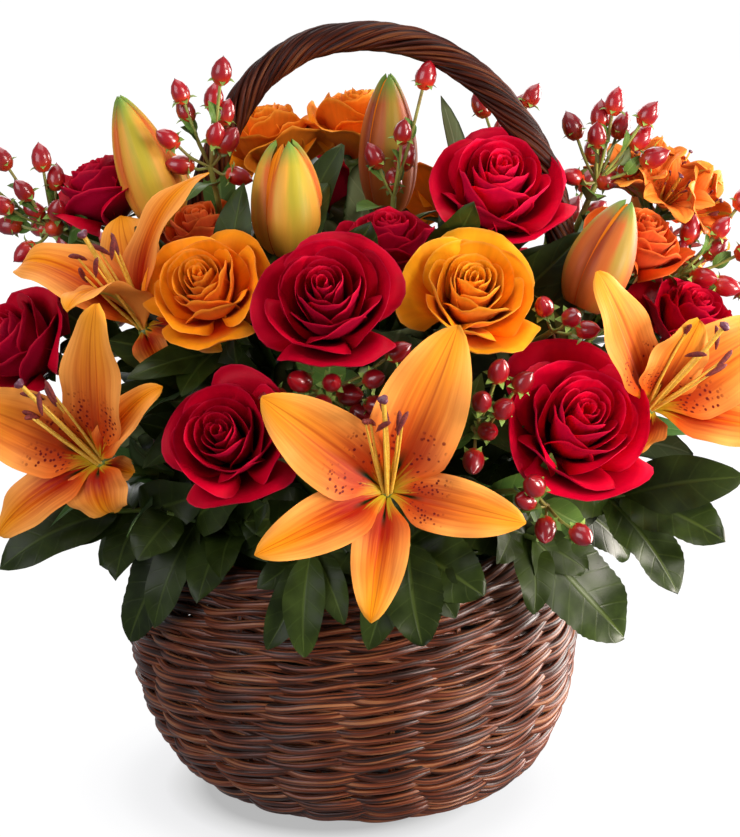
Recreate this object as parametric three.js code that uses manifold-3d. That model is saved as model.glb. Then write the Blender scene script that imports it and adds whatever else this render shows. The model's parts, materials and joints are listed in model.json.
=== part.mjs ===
// A cut-flower arrangement in a round willow basket with a roped arch handle.
// Millimetres, +Z up, -Y is the front. The origin is the centre of the basket's flat underside.
// Each cut stem is one piece, from its foot in the wet foam to its flower, berries, bud or leaves.
import * as THREE from "three";
import { mergeVertices } from "three/addons/utils/BufferGeometryUtils.js";
import Module from "manifold-3d";

const wasm = await Module();
wasm.setup();

// ---------- driving dimensions ----------
const CLEARANCE = 0.3; // between pieces that rest on or in one another
const BASE_RADIUS = 51;
const BASE_THICKNESS = 6;
const BELLY_RADIUS = 103;
const BELLY_HEIGHT = 74;
const RIM_RADIUS = 97;
const WALL_TOP = 116;
const WALL_THICKNESS = 9;
const BORDER_RADIUS = 6.5; // of the rolled border's round section
const FOOT_SHIFT = -3; // the bowl stands a little to the left
const LEAN = -0.0441; // and leans to its left as it rises, as handmade ones do
const LINER_WALL = 2.5;
const LINER_TOP = 112;
const LINER_TOP_RADIUS = 71;
const LINER_FOOT_RADIUS = 46;
const FOAM_TOP = 150;
const FOAM_SHOULDER = 128;
const FOOT_DEPTH = 30; // how far a stem goes into the foam
const FOOT_ENTRY_HEIGHT = 138;
const FOOT_SPACING = 9.5;
const FOOT_REACH = 46;
const STEM_SIDES = 5;
const STEM_STEPS = 6;
const HANDLE_CORE_RADIUS = 3.8;
const HANDLE_RADIUS = 6.8;
const SIDING_FOOT_RADIUS = BASE_RADIUS + 4;
const WALL_HEIGHTS = [1, 6, 14, 26, 44, 70, 94, WALL_TOP];
const WRAP_START = WALL_TOP + 2 * BORDER_RADIUS + 5;
// The handle's arch, from inside the basket's wall on the left to inside it on the right.
const HANDLE_POINTS = [
  [-84.6, 6, 58],
  [-89.2, 6, 130],
  [-89, 6, 180],
  [-78, 5, 245],
  [-64, 4.5, 297],
  [-47, 3, 326],
  [-25, 1.5, 341.5],
  [-2, 0, 345.7],
  [22, -1.5, 343],
  [45, -3, 331],
  [65, -5, 310.4],
  [79, -6, 286],
  [87, -6.5, 245],
  [83, -7, 190],
  [71.3, -7, 130],
  [76, -7, 58],
];

const COLOURS = {
  willow: [0x5a3424, 0.5],
  darkWillow: [0x3b2017, 0.5],
  liner: [0x20251f, 0.5],
  foam: [0x2f5a35, 0.95],
  redPetal: [0x9e0a24, 0.6],
  orangePetal: [0xf08a1c, 0.6],
  lilyPetal: [0xf5a043, 0.5],
  bud: [0xc9b848, 0.5],
  berry: [0xa81a20, 0.25],
  leaf: [0x2f4a26, 0.45],
};

// ---------- the plan: where each flower sits, and which way it faces ----------
const RED_ROSES = [
  { name: "red_rose_1", at: [-17, -94, 252], face: [-0.1, -0.85, 0.5], radius: 29 },
  { name: "red_rose_2", at: [57, -22, 283], face: [0.2, -0.7, 0.7], radius: 29 },
  { name: "red_rose_3", at: [-58, -114, 197], face: [-0.25, -0.93, 0.25], radius: 27 },
  { name: "red_rose_4", at: [89, -94, 197], face: [0.3, -0.88, 0.35], radius: 29 },
  { name: "red_rose_5", at: [-117, 8, 275], face: [-0.5, 0.1, 0.85], radius: 22, round: [0, -16] },
  { name: "red_rose_6", at: [-151, -38, 217], face: [-0.9, -0.4, 0.2], radius: 25 },
  { name: "red_rose_7", at: [143, -14, 222], face: [0.6, -0.4, 0.7], radius: 22, round: [0, 14] },
  { name: "red_rose_8", at: [10, -36, 262], face: [0.05, -0.3, 0.95], radius: 22 },
  { name: "red_rose_9", at: [-20, 96, 252], face: [-0.1, 0.85, 0.5], radius: 27 },
  { name: "red_rose_10", at: [72, 114, 200], face: [0.4, 0.88, 0.25], radius: 27 },
];
const ORANGE_ROSES = [
  { name: "orange_rose_1", at: [-66, -80, 253], face: [-0.3, -0.82, 0.5], radius: 24 },
  { name: "orange_rose_2", at: [44, -84, 252], face: [0.15, -0.85, 0.5], radius: 26 },
  { name: "orange_rose_3", at: [-44, 45, 292], face: [-0.2, 0.1, 1], radius: 23 },
  { name: "orange_rose_4", at: [-4, 56, 296], face: [0.1, 0.2, 1], radius: 23, round: [8, -8] },
  { name: "orange_rose_5", at: [121, -10, 256], face: [0.45, -0.3, 0.8], radius: 20 },
  { name: "orange_rose_6", at: [-72, -18, 262], face: [-0.25, -0.3, 0.9], radius: 20 },
  { name: "orange_rose_7", at: [-72, 108, 202], face: [-0.4, 0.88, 0.25], radius: 26 },
  { name: "orange_rose_8", at: [46, 82, 256], face: [0.3, 0.75, 0.6], radius: 25 },
];
// A lily's petals: angle round its face in degrees, length, width, and the tilt from its axis at base and tip.
const OPEN_PETALS = [
  [30, 62, 24, 50, 100],
  [90, 66, 30, 50, 95],
  [150, 62, 24, 50, 100],
  [210, 60, 30, 50, 105],
  [270, 58, 24, 50, 110],
  [330, 62, 30, 50, 105],
];
const FRONT_PETALS = [
  [67, 80, 34, 62, 96],
  [143, 70, 32, 62, 98],
  [205, 66, 27, 62, 98],
  [262, 60, 25, 62, 96],
  [347, 64, 28, 62, 98],
];
const LILIES = [
  { name: "lily_1", at: [9, -120, 177], face: [0.02, -0.95, 0.3], petals: FRONT_PETALS },
  { name: "lily_2", at: [-93, -58, 226], face: [-0.5, -0.3, 0.8], petals: OPEN_PETALS },
  { name: "lily_3", at: [-113, -88, 180], face: [-0.4, -0.84, 0.38], petals: OPEN_PETALS },
  { name: "lily_4", at: [121, -78, 201], face: [0.45, -0.8, 0.4], petals: OPEN_PETALS },
  { name: "lily_5", at: [0, 128, 190], face: [0, 0.95, 0.3], petals: OPEN_PETALS },
  { name: "lily_6", at: [126, 58, 208], face: [0.85, 0.4, 0.35], petals: OPEN_PETALS },
];
const BUDS = [
  { name: "lily_bud_1", at: [-87, -8, 263], face: [-0.33, 0, 0.94], length: 62, radius: 12.5 },
  { name: "lily_bud_2", at: [-33, -33, 256], face: [-0.03, 0.08, 1], length: 54, radius: 15 },
  { name: "lily_bud_3", at: [10, 20, 264], face: [0, 0.03, 1], length: 60, radius: 12 },
  { name: "lily_bud_4", at: [93, -48, 237], face: [0.4, 0.12, 0.9], length: 50, radius: 13 },
  { name: "lily_bud_5", at: [-84, 60, 246], face: [-0.45, 0.4, 0.8], length: 58, radius: 12 },
];
// A berry spray: each berry is [right, up] of the spray's middle.
const BERRY_SPRAYS = [
  {
    name: "hypericum_1",
    at: [-150, 0, 271],
    face: [-0.75, 0, 0.65],
    round: [0, 40],
    berries: [[-10, 20], [7, 19], [0, 7], [14, 10], [4, -3], [-10, 0], [-8, -11], [0, -20], [13, -11], [-19, 9]],
  },
  {
    name: "hypericum_2",
    at: [-71, -17, 306],
    face: [-0.2, -0.2, 0.95],
    berries: [[-7, 12], [-4, 1], [-12, -8], [10, 5], [11, -6], [8, -16], [5, 14], [9, 26]],
  },
  {
    name: "hypericum_3",
    at: [13, -5, 291],
    face: [0.05, 0, 1],
    berries: [[-9, 2], [4, 1], [3, 14], [-1, -10], [13, 38]],
  },
  {
    name: "hypericum_4",
    at: [109, 15, 292],
    face: [0.4, 0.05, 0.9],
    berries: [[1, 21], [-5, 14], [15, 17], [-17, 9], [12, 5], [18, -3], [-7, -2], [-17, -11], [-2, -14], [8, -9]],
  },
  {
    name: "hypericum_5",
    at: [152, 4, 247],
    face: [0.8, 0, 0.6],
    berries: [[-12, 0], [3, 1], [-3, -9], [16, 24], [5, 14], [17, 0], [17, -20], [7, -13]],
  },
  {
    name: "hypericum_6",
    at: [-17, -108, 217],
    face: [0, -0.95, 0.3],
    berries: [[-10, 4], [-21, -4], [-1, -4], [10, -3], [21, -6], [20, 6], [30, 15]],
  },
  {
    name: "hypericum_7",
    at: [48, -108, 200],
    face: [0.1, -0.95, 0.3],
    berries: [[7, 25], [17, 19], [0, 14], [3, -2], [-3, -13], [9, 10]],
  },
  {
    name: "hypericum_8",
    at: [81, -122, 168],
    face: [0.3, -0.9, 0.1],
    berries: [[-11, 12], [-6, -8], [8, -7]],
  },
  {
    name: "hypericum_9",
    at: [84, -82, 240],
    face: [0.3, -0.8, 0.5],
    berries: [[-9, 6], [9, -5], [2, 3]],
  },
  {
    name: "hypericum_10",
    at: [64, 34, 303],
    face: [0.2, 0.1, 0.97],
    berries: [[10, 9], [-12, 4], [-3, -5], [4, 2]],
  },
  {
    name: "hypericum_11",
    at: [-128, 60, 222],
    face: [-0.8, 0.5, 0.4],
    round: [0, 16],
    berries: [[-10, 16], [6, 14], [-2, 2], [12, 2], [-12, -8], [4, -12], [12, -20]],
  },
  {
    name: "hypericum_12",
    at: [98, 92, 243],
    face: [0.55, 0.6, 0.6],
    berries: [[-10, 14], [6, 16], [-2, 4], [10, 2], [-10, -8], [4, -10]],
  },
];
const ALSTROEMERIA = { name: "alstroemeria_1", at: [136, 36, 268], face: [0.5, 0.2, 0.85], radius: 19 };
// A leafy stem: its stalk's points outside the foam, and its leaves as [share along the stalk, tip, width].
const LEAF_STEMS = [
  {
    name: "leaf_stem_1",
    stalk: [[-74, -36, 142], [-112, -54, 146]],
    leaves: [
      [1, [-160, -62, 122], 20],
      [0.9, [-141, -50, 128], 18],
      [0.7, [-118, -30, 112], 20],
      [0.8, [-108, -76, 122], 18],
      [0.6, [-116, -18, 134], 20],
    ],
  },
  {
    name: "leaf_stem_2",
    stalk: [[-60, -62, 142], [-86, -68, 150]],
    leaves: [
      [1, [-98, -84, 134], 19],
      [0.8, [-104, -60, 88], 22],
      [0.85, [-92, -76, 100], 16],
      [0.6, [-72, -93, 118], 18],
      [0.5, [-62, -98, 131], 16],
    ],
  },
  {
    name: "leaf_stem_3",
    stalk: [[-18, -74, 142], [-24, -104, 143]],
    leaves: [
      [1, [-26, -114, 101], 15],
      [0.9, [-42, -110, 103], 15],
      [0.9, [-9, -114, 116], 12],
      [0.7, [-46, -100, 127], 14],
    ],
  },
  {
    name: "leaf_stem_4",
    stalk: [[16, -74, 142], [18, -104, 148]],
    leaves: [
      [1, [24, -114, 106], 22],
      [0.95, [1, -113, 104], 16],
      [0.85, [50, -109, 127], 25],
      [0.8, [38, -112, 118], 18],
    ],
  },
  {
    name: "leaf_stem_5",
    stalk: [[54, -60, 142], [74, -80, 142]],
    leaves: [
      [0.9, [72, -94, 113], 15],
      [1, [112, -60, 88], 28],
      [0.8, [56, -100, 138], 13],
      [0.9, [96, -76, 126], 16],
    ],
  },
  {
    name: "leaf_stem_6",
    stalk: [[76, -26, 142], [116, -44, 150]],
    leaves: [
      [1, [157, -56, 128], 24],
      [0.9, [134, -54, 112], 24],
      [1, [166, -60, 168], 17],
      [0.6, [118, -20, 112], 22],
      [0.95, [152, -26, 142], 20],
    ],
  },
  {
    name: "leaf_stem_7",
    stalk: [[-70, 44, 142], [-104, 62, 148]],
    leaves: [
      [1, [-142, 76, 130], 24],
      [0.9, [-122, 42, 104], 24],
      [0.8, [-94, 92, 102], 24],
      [0.6, [-82, 82, 128], 18],
      [0.95, [-136, 40, 150], 20],
    ],
  },
  {
    name: "leaf_stem_8",
    stalk: [[2, 78, 142], [6, 106, 146]],
    leaves: [
      [1, [12, 126, 106], 24],
      [0.9, [-24, 118, 102], 24],
      [0.9, [40, 116, 104], 24],
      [0.6, [-48, 106, 116], 22],
      [0.7, [66, 100, 112], 22],
    ],
  },
  {
    name: "leaf_stem_9",
    stalk: [[78, 34, 142], [112, 50, 148]],
    leaves: [
      [1, [150, 66, 132], 24],
      [0.9, [122, 76, 106], 24],
      [0.85, [128, 18, 108], 24],
      [0.6, [92, 84, 124], 20],
      [0.95, [150, 22, 148], 20],
    ],
  },
  {
    name: "leaf_stem_10",
    stalk: [[26, -16, 200], [30, -30, 262]],
    leaves: [
      [1, [46, -62, 286], 17],
      [0.8, [33, 8, 318], 14],
      [0.6, [-3, -22, 262], 14],
      [0.9, [62, 8, 304], 13],
    ],
  },
  {
    name: "leaf_stem_11",
    stalk: [[-44, -30, 200], [-62, -44, 240]],
    leaves: [
      [1, [-52, -42, 290], 16],
      [0.5, [-94, -92, 178], 20],
      [0.7, [-100, -92, 218], 15],
      [0.9, [-100, -30, 268], 16],
      [0.8, [-10, -10, 300], 14],
    ],
  },
];

// ---------- solids ----------
const vector = (p) => new THREE.Vector3(...p);

/** A closed geometry as a solid; a profile that came out inside out is turned round. */
function solidOf(geometry) {
  const bare = geometry.index ? geometry.toNonIndexed() : geometry.clone();
  bare.deleteAttribute("normal");
  bare.deleteAttribute("uv");
  const merged = mergeVertices(bare, 1e-3);
  const triangles = new Uint32Array(merged.index.array);
  const build = () =>
    new wasm.Manifold(
      new wasm.Mesh({ numProp: 3, vertProperties: merged.attributes.position.array, triVerts: triangles }),
    );
  const solid = build();
  if (solid.volume() > 0) return solid;
  for (let i = 0; i < triangles.length; i += 3)
    [triangles[i + 1], triangles[i + 2]] = [triangles[i + 2], triangles[i + 1]];
  return build();
}

/** A solid's triangles as a three.js geometry. */
function geometryOf(solid) {
  const mesh = solid.getMesh();
  const positions = new Float32Array(mesh.numVert * 3);
  for (let i = 0; i < mesh.numVert; i++)
    positions.set(mesh.vertProperties.subarray(i * mesh.numProp, i * mesh.numProp + 3), i * 3);
  const geometry = new THREE.BufferGeometry();
  geometry.setAttribute("position", new THREE.BufferAttribute(positions, 3));
  geometry.setIndex(new THREE.BufferAttribute(new Uint32Array(mesh.triVerts), 1));
  geometry.computeVertexNormals();
  return geometry;
}

const joined = (solids) => solids.reduce((whole, next) => whole.add(next));

/** The body that reaches lowest, of a solid that a cut may have split. */
function lowestBody(solid) {
  const bodies = solid.decompose();
  const foot = (body) => body.boundingBox().min[2];
  return bodies.reduce((best, next) => (foot(next) < foot(best) ? next : best));
}

/** Whether two solids' boxes meet. */
function nearby(a, b) {
  const [p, q] = [a.boundingBox(), b.boundingBox()];
  return [0, 1, 2].every((k) => p.min[k] <= q.max[k] && q.min[k] <= p.max[k]);
}

/** A solid less all the others it meets. */
const cutBy = (solid, others) =>
  others.filter((other) => nearby(solid, other)).reduce((left, other) => left.subtract(other), solid);

/** A round bar along a curve. */
function bar(curve, radius, sides, steps) {
  const section = new THREE.Shape();
  for (let i = 0; i < sides; i++) {
    const angle = (2 * Math.PI * i) / sides;
    section[i ? "lineTo" : "moveTo"](radius * Math.cos(angle), radius * Math.sin(angle));
  }
  section.closePath();
  return solidOf(new THREE.ExtrudeGeometry(section, { steps, extrudePath: curve, curveSegments: 1 }));
}

/** A body turned round +Z from its [radius, height] profile. */
function turned(profile, sides) {
  const points = profile.map(([radius, height]) => new THREE.Vector2(radius, height));
  return new THREE.LatheGeometry(points, sides).rotateX(Math.PI / 2);
}

/** Turns a piece that faces +Z, with +Y up its face, to where its flower sits. */
function seated(geometry, at, face) {
  const z = vector(face).normalize();
  const x = new THREE.Vector3(0, 0, 1).cross(z);
  if (x.length() < 0.05) x.set(1, 0, 0);
  x.normalize();
  const y = z.clone().cross(x);
  return geometry.applyMatrix4(new THREE.Matrix4().makeBasis(x, y, z).setPosition(...at));
}

/** A leaf or petal: a blade of diamond section along a line of points, widest in its middle. */
function blade(line, across, width, thickness) {
  const stations = line.length - 1;
  const positions = [];
  const push = (...points) => points.forEach((p) => positions.push(p.x, p.y, p.z));
  const rings = line.map((centre, i) => {
    const share = i / stations;
    const half = (width / 2) * Math.sin(Math.PI * Math.pow(share, 0.85)) ** 0.8 || 0;
    const along = line[Math.min(i + 1, stations)].clone().sub(line[Math.max(i - 1, 0)]).normalize();
    const up = along.clone().cross(across).normalize();
    const side = up.clone().cross(along).normalize();
    return [
      centre.clone().addScaledVector(side, half),
      centre.clone().addScaledVector(up, thickness / 2),
      centre.clone().addScaledVector(side, -half),
      centre.clone().addScaledVector(up, -thickness / 2),
    ];
  });
  for (let k = 0; k < 4; k++) {
    const next = (k + 1) % 4;
    push(line[0], rings[1][next], rings[1][k]);
    for (let i = 1; i < stations - 1; i++) {
      push(rings[i][k], rings[i][next], rings[i + 1][next]);
      push(rings[i][k], rings[i + 1][next], rings[i + 1][k]);
    }
    push(rings[stations - 1][k], rings[stations - 1][next], line[stations]);
  }
  const geometry = new THREE.BufferGeometry();
  geometry.setAttribute("position", new THREE.Float32BufferAttribute(positions, 3));
  return geometry;
}

// ---------- flowers, buds, berries and leaves ----------
/** A rose in bloom as a cup of revolution, from its calyx to its furled middle. */
function roseHead({ at, face, radius }, grow) {
  const r = radius + grow;
  const profile = [
    [0, -0.8 * r],
    [0.24 * r, -0.76 * r],
    [0.62 * r, -0.42 * r],
    [0.88 * r, 0.05 * r],
    [r, 0.4 * r],
    [0.72 * r, 0.62 * r],
    [0, 0.66 * r],
  ];
  return solidOf(seated(turned(profile, 9), at, face));
}

/** A petal's middle line, from the throat outwards, tilting from the flower's axis as it goes. */
function petalLine([angle, length, , tiltBase, tiltTip], start) {
  const steps = 4;
  const turn = THREE.MathUtils.degToRad(angle);
  const line = [];
  let [radial, axial] = [start, 0];
  for (let i = 0; i <= steps; i++) {
    line.push(new THREE.Vector3(radial * Math.cos(turn), radial * Math.sin(turn), axial));
    const tilt = THREE.MathUtils.degToRad(tiltBase + ((tiltTip - tiltBase) * i) / (steps - 1));
    radial += (length / steps) * Math.sin(tilt);
    axial += (length / steps) * Math.cos(tilt);
  }
  return line;
}

/** An open lily: a tapering throat, its petals, and its pistil with the stamens gathered round it. */
function lilyHead({ at, face, petals }, grow) {
  const throat = [
    [0, -16 - grow],
    [3 + grow, -14 - grow],
    [7 + grow, 2],
    [0, 6 + grow],
  ];
  const pistil = new THREE.CylinderGeometry(1.6 + grow, 4 + grow, 44, 6).rotateX(Math.PI / 2).translate(0, 0, 22);
  const blades = petals.map((petal) => {
    const turn = THREE.MathUtils.degToRad(petal[0]);
    const across = new THREE.Vector3(-Math.sin(turn), Math.cos(turn), 0);
    return blade(petalLine(petal, 2), across, petal[2] + 2 * grow, 3 + 2 * grow);
  });
  return joined([turned(throat, 8), pistil, ...blades].map((g) => solidOf(seated(g, at, face))));
}

/** A closed lily bud, from its foot to its pointed tip. */
function budHead({ at, face, length, radius }, grow) {
  const profile = [
    [0, -grow],
    [0.45 * radius + grow, 0],
    [radius + grow, 0.32 * length],
    [0.86 * radius + grow, 0.6 * length],
    [0.36 * radius + grow, 0.92 * length],
    [0, length + grow],
  ];
  return solidOf(seated(turned(profile, 8), at, face));
}

/** Small trumpet flowers opening from one point. */
function alstroemeriaHead({ at, face, radius }, grow) {
  const trumpet = [
    [0, -grow],
    [2.5 + grow, 0],
    [radius * 0.55 + grow, radius * 1.1],
    [0, radius * 1.3 + grow],
  ];
  const flowers = [0, 1, 2].map((i) => {
    const turn = (2 * Math.PI * i) / 3;
    const way = [0.75 * Math.cos(turn), 0.75 * Math.sin(turn), 1];
    return seated(turned(trumpet, 8), [0, 0, -radius], way);
  });
  return joined(flowers.map((g) => solidOf(seated(g, at, face))));
}

/** Where a berry sits: right and up as given, and a little in front or behind by turns. */
function berryPlace(spray, index) {
  const [right, up] = spray.berries[index];
  const depth = 6 * Math.sin(2.4 * index);
  return new THREE.Vector3(spray.at[0] + right, spray.at[1] + depth, spray.at[2] + up);
}

/** The point a spray's side twigs leave from. */
const twigHub = (spray) => vector(spray.at).addScaledVector(vector(spray.face).normalize(), -16);

/** Egg-shaped berries on straight twigs. */
function berryHead(spray, grow) {
  const hub = twigHub(spray);
  const pieces = spray.berries.flatMap((_, i) => {
    const place = berryPlace(spray, i);
    const way = place.clone().sub(hub);
    const berry = new THREE.SphereGeometry(4.9 + grow, 5, 3).scale(1, 1.25, 1).rotateX(Math.PI / 2);
    const twig = new THREE.CylinderGeometry(1 + grow, 1 + grow, way.length(), 3);
    twig.rotateX(Math.PI / 2).translate(0, 0, way.length() / 2);
    return [seated(berry, place.toArray(), way.toArray()), seated(twig, hub.toArray(), way.toArray())];
  });
  return joined(pieces.map(solidOf));
}

/** The stalk of a leafy stem outside the foam, as a curve. */
const stalkCurve = (plant) => new THREE.CatmullRomCurve3([plant.entry, ...plant.stalk.map(vector)]);

/** The leaves of a leafy stem, each arching from the stalk to its tip. */
function leafHead(plant, grow) {
  const curve = stalkCurve(plant);
  const leaves = plant.leaves.map(([share, tipPoint, width]) => {
    const tip = vector(tipPoint);
    const base = curve.getPoint(0.95 * share);
    base.addScaledVector(tip.clone().sub(base).normalize(), -1);
    const along = tip.clone().sub(base);
    const rise = along.length() * 0.1;
    const outwards = new THREE.Vector3(base.x + tip.x, base.y + tip.y, 60).normalize();
    const line = [0, 0.25, 0.5, 0.75, 1].map((t) =>
      base.clone().addScaledVector(along, t).addScaledVector(outwards, 4 * rise * t * (1 - t)),
    );
    const across = along.clone().cross(outwards).normalize();
    return solidOf(blade(line, across, width + 2 * grow, 1.4 + 2 * grow));
  });
  return joined(leaves);
}

// ---------- stems and their places in the foam ----------
const KINDS = [
  { plants: RED_ROSES, head: roseHead, drop: (p) => 0.74 * p.radius, stem: 2.6, colour: "redPetal" },
  { plants: ORANGE_ROSES, head: roseHead, drop: (p) => 0.74 * p.radius, stem: 2.6, colour: "orangePetal" },
  { plants: LILIES, head: lilyHead, drop: () => 12, stem: 2.8, colour: "lilyPetal" },
  { plants: BUDS, head: budHead, drop: () => -2, stem: 2.2, colour: "bud" },
  { plants: [ALSTROEMERIA], head: alstroemeriaHead, drop: (p) => p.radius - 2, stem: 2, colour: "berry" },
  { plants: BERRY_SPRAYS, head: berryHead, drop: () => 15.5, stem: 1.6, colour: "berry" },
  { plants: LEAF_STEMS, head: leafHead, drop: () => 0, stem: 1.7, colour: "leaf" },
];

/** Spreads the stems' feet over the foam's top until no two crowd each other. */
function spreadFeet(plants) {
  const feet = plants.map(({ at, stalk }) => {
    const [x, y] = at ?? stalk[0];
    const share = Math.min(at ? 0.3 : 0.6, FOOT_REACH / Math.hypot(x, y));
    return new THREE.Vector2(x * share, y * share);
  });
  for (let round = 0; round < 200; round++)
    for (const [i, a] of feet.entries()) {
      for (const b of feet.slice(i + 1)) {
        const apart = b.clone().sub(a);
        const short = FOOT_SPACING - apart.length();
        if (short <= 0) continue;
        const push = apart.lengthSq() > 0.01 ? apart.normalize() : new THREE.Vector2(Math.cos(i), Math.sin(i));
        a.addScaledVector(push, -short / 2);
        b.addScaledVector(push, short / 2);
      }
      a.clampLength(0, FOOT_REACH);
    }
  return feet;
}

/** A stem's curve, from its foot deep in the foam to the base of its flower. */
function stemCurve(plant, drop) {
  if (plant.stalk) return new THREE.CatmullRomCurve3([plant.foot, plant.entry, ...plant.stalk.map(vector)]);
  const face = vector(plant.face).normalize();
  const top = vector(plant.at).addScaledVector(face, -drop);
  const bend = top.clone().addScaledVector(face, -0.35 * top.distanceTo(plant.entry));
  bend.z = Math.max(bend.z, FOOT_ENTRY_HEIGHT + 4);
  const [right, back] = plant.round ?? [0, 0];
  bend.x += right;
  bend.y += back;
  return new THREE.CatmullRomCurve3([plant.foot, plant.entry, bend, top]);
}

/** Every plant's stem and head, with the room its stem needs round it. */
function plantStems() {
  const rows = KINDS.flatMap((kind) => kind.plants.map((plant) => ({ kind, plant })));
  spreadFeet(rows.map((row) => row.plant)).forEach((foot, i) => {
    const { plant } = rows[i];
    plant.entry = new THREE.Vector3(foot.x, foot.y, FOOT_ENTRY_HEIGHT);
    plant.foot = new THREE.Vector3(foot.x * 0.8, foot.y * 0.8, FOOT_ENTRY_HEIGHT - FOOT_DEPTH);
  });
  return rows.map(({ kind, plant }) => {
    const curve = stemCurve(plant, kind.drop(plant));
    const stem = (grow) => bar(curve, kind.stem + grow, STEM_SIDES, STEM_STEPS);
    return { kind, plant, stem: stem(0), stemRoom: stem(CLEARANCE), head: kind.head(plant, 0) };
  });
}

// ---------- the basket, its handle, liner and foam ----------
/** A turned piece that leans to one side as it rises, as the basket does. */
function leant(profile, sides) {
  const lean = new THREE.Matrix4().set(1, 0, LEAN, FOOT_SHIFT, 0, 1, 0, 0, 0, 0, 1, 0, 0, 0, 0, 1);
  return solidOf(turned(profile, sides).applyMatrix4(lean));
}

/** The basket's outer radius at a height: out from the base to the belly, and in a little to the rim. */
function basketRadius(height) {
  if (height < BELLY_HEIGHT) {
    const share = 1 - height / BELLY_HEIGHT;
    return SIDING_FOOT_RADIUS + (BELLY_RADIUS - SIDING_FOOT_RADIUS) * Math.sqrt(1 - share ** 2);
  }
  const share = (height - BELLY_HEIGHT) / (WALL_TOP - BELLY_HEIGHT);
  return BELLY_RADIUS - (BELLY_RADIUS - RIM_RADIUS) * share ** 2;
}

const basketBase = () =>
  leant([[0, 0], [BASE_RADIUS, 0], [BASE_RADIUS, BASE_THICKNESS], [0, BASE_THICKNESS]], 28);

/** The woven side, from the base disc's edge up to the border. */
function basketSiding(grow) {
  const seat = BASE_RADIUS + CLEARANCE - grow;
  const outside = WALL_HEIGHTS.map((height) => [basketRadius(height) + grow, height]);
  const inside = WALL_HEIGHTS.slice(2).map((height) => [basketRadius(height) - WALL_THICKNESS - grow, height]);
  const floor = [[seat, BASE_THICKNESS], [seat, WALL_HEIGHTS[0]]];
  return leant([...outside, ...inside.reverse(), ...floor, outside[0]], 28);
}

/** The rolled border, a ring on top of the siding. */
function basketBorder(grow) {
  const [radius, height] = [RIM_RADIUS - 5, WALL_TOP + BORDER_RADIUS + CLEARANCE];
  const round = BORDER_RADIUS + grow;
  const ring = Array.from({ length: 8 }, (_, i) => (Math.PI * i) / 4);
  const profile = ring.map((turn) => [radius + round * Math.cos(turn), height + round * Math.sin(turn)]);
  return leant([...profile, profile[0]], 28);
}

/** The plastic bowl that holds the wet foam. */
function liner() {
  const floor = BASE_THICKNESS + CLEARANCE;
  const outside = [[0, floor], [LINER_FOOT_RADIUS, floor], [LINER_TOP_RADIUS, LINER_TOP]];
  const inside = [
    [LINER_TOP_RADIUS - LINER_WALL, LINER_TOP],
    [LINER_FOOT_RADIUS - LINER_WALL, floor + LINER_WALL],
    [0, floor + LINER_WALL],
  ];
  return leant([...outside, ...inside], 20);
}

/** The block of wet foam, domed above the liner, before the stems go in. */
function foamBlock() {
  const floor = BASE_THICKNESS + LINER_WALL + 2 * CLEARANCE;
  const inset = LINER_WALL + CLEARANCE;
  const profile = [
    [0, floor],
    [LINER_FOOT_RADIUS - inset, floor],
    [LINER_TOP_RADIUS - inset, LINER_TOP],
    [LINER_TOP_RADIUS - inset - 2, FOAM_SHOULDER],
    [0.75 * LINER_TOP_RADIUS, FOAM_TOP - 6],
    [0.4 * LINER_TOP_RADIUS, FOAM_TOP],
    [0, FOAM_TOP],
  ];
  return leant(profile, 20);
}

/** The handle's arch through all its points, or only where it stands clear of the border. */
const handleCore = (grow) =>
  bar(new THREE.CatmullRomCurve3(HANDLE_POINTS.map(vector)), HANDLE_CORE_RADIUS + grow, 8, 30);

/** The willow wound round the handle above the border. */
function handleWrap(grow) {
  const clearOfBorder = HANDLE_POINTS.slice(1, -1).map(([x, y, z]) => vector([x, y, Math.max(z, WRAP_START)]));
  return bar(new THREE.CatmullRomCurve3(clearOfBorder), HANDLE_RADIUS + grow, 8, 26);
}

// ---------- assembly ----------
const arrangement = new THREE.Group();

function show(name, colour, solid) {
  const [hex, roughness] = COLOURS[colour];
  const material = new THREE.MeshStandardMaterial({ color: hex, roughness, metalness: 0 });
  const mesh = new THREE.Mesh(geometryOf(solid), material);
  mesh.name = name;
  arrangement.add(mesh);
}

show("basket_base", "willow", basketBase());
show("basket_siding", "willow", basketSiding(0));
show("basket_border", "willow", basketBorder(0));
show("handle_core", "darkWillow", handleCore(0));
show("handle_wrap", "darkWillow", lowestBody(handleWrap(0).subtract(handleCore(CLEARANCE))));
show("liner", "liner", liner());

// Each head gives way to the basket, to every other stem and to the heads already in place.
const stems = plantStems();
const taken = [basketSiding(CLEARANCE), basketBorder(CLEARANCE), handleWrap(CLEARANCE)];
for (const row of stems) {
  const otherStems = stems.filter((other) => other !== row).map((other) => other.stemRoom);
  const head = cutBy(cutBy(row.head, otherStems), taken);
  show(row.plant.name, row.kind.colour, lowestBody(row.stem.add(head)));
  taken.push(row.kind.head(row.plant, CLEARANCE));
}
show("floral_foam", "foam", lowestBody(cutBy(foamBlock(), stems.map((row) => row.stemRoom))));

export default arrangement;
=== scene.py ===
"""The looks of a cut-flower arrangement in a round willow basket with a wound arch handle.

Lengths in the tables are millimetres, as in the CAD part, and every mesh is made in metres in
the part's own frame: +Z up, -Y the front, the origin under the middle of the basket.
A shape is a grid of points worked out from two parameters, u across and v along.
"""

import json
import logging
import math
from collections.abc import Callable, Sequence
from dataclasses import dataclass, field
from enum import Enum

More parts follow.
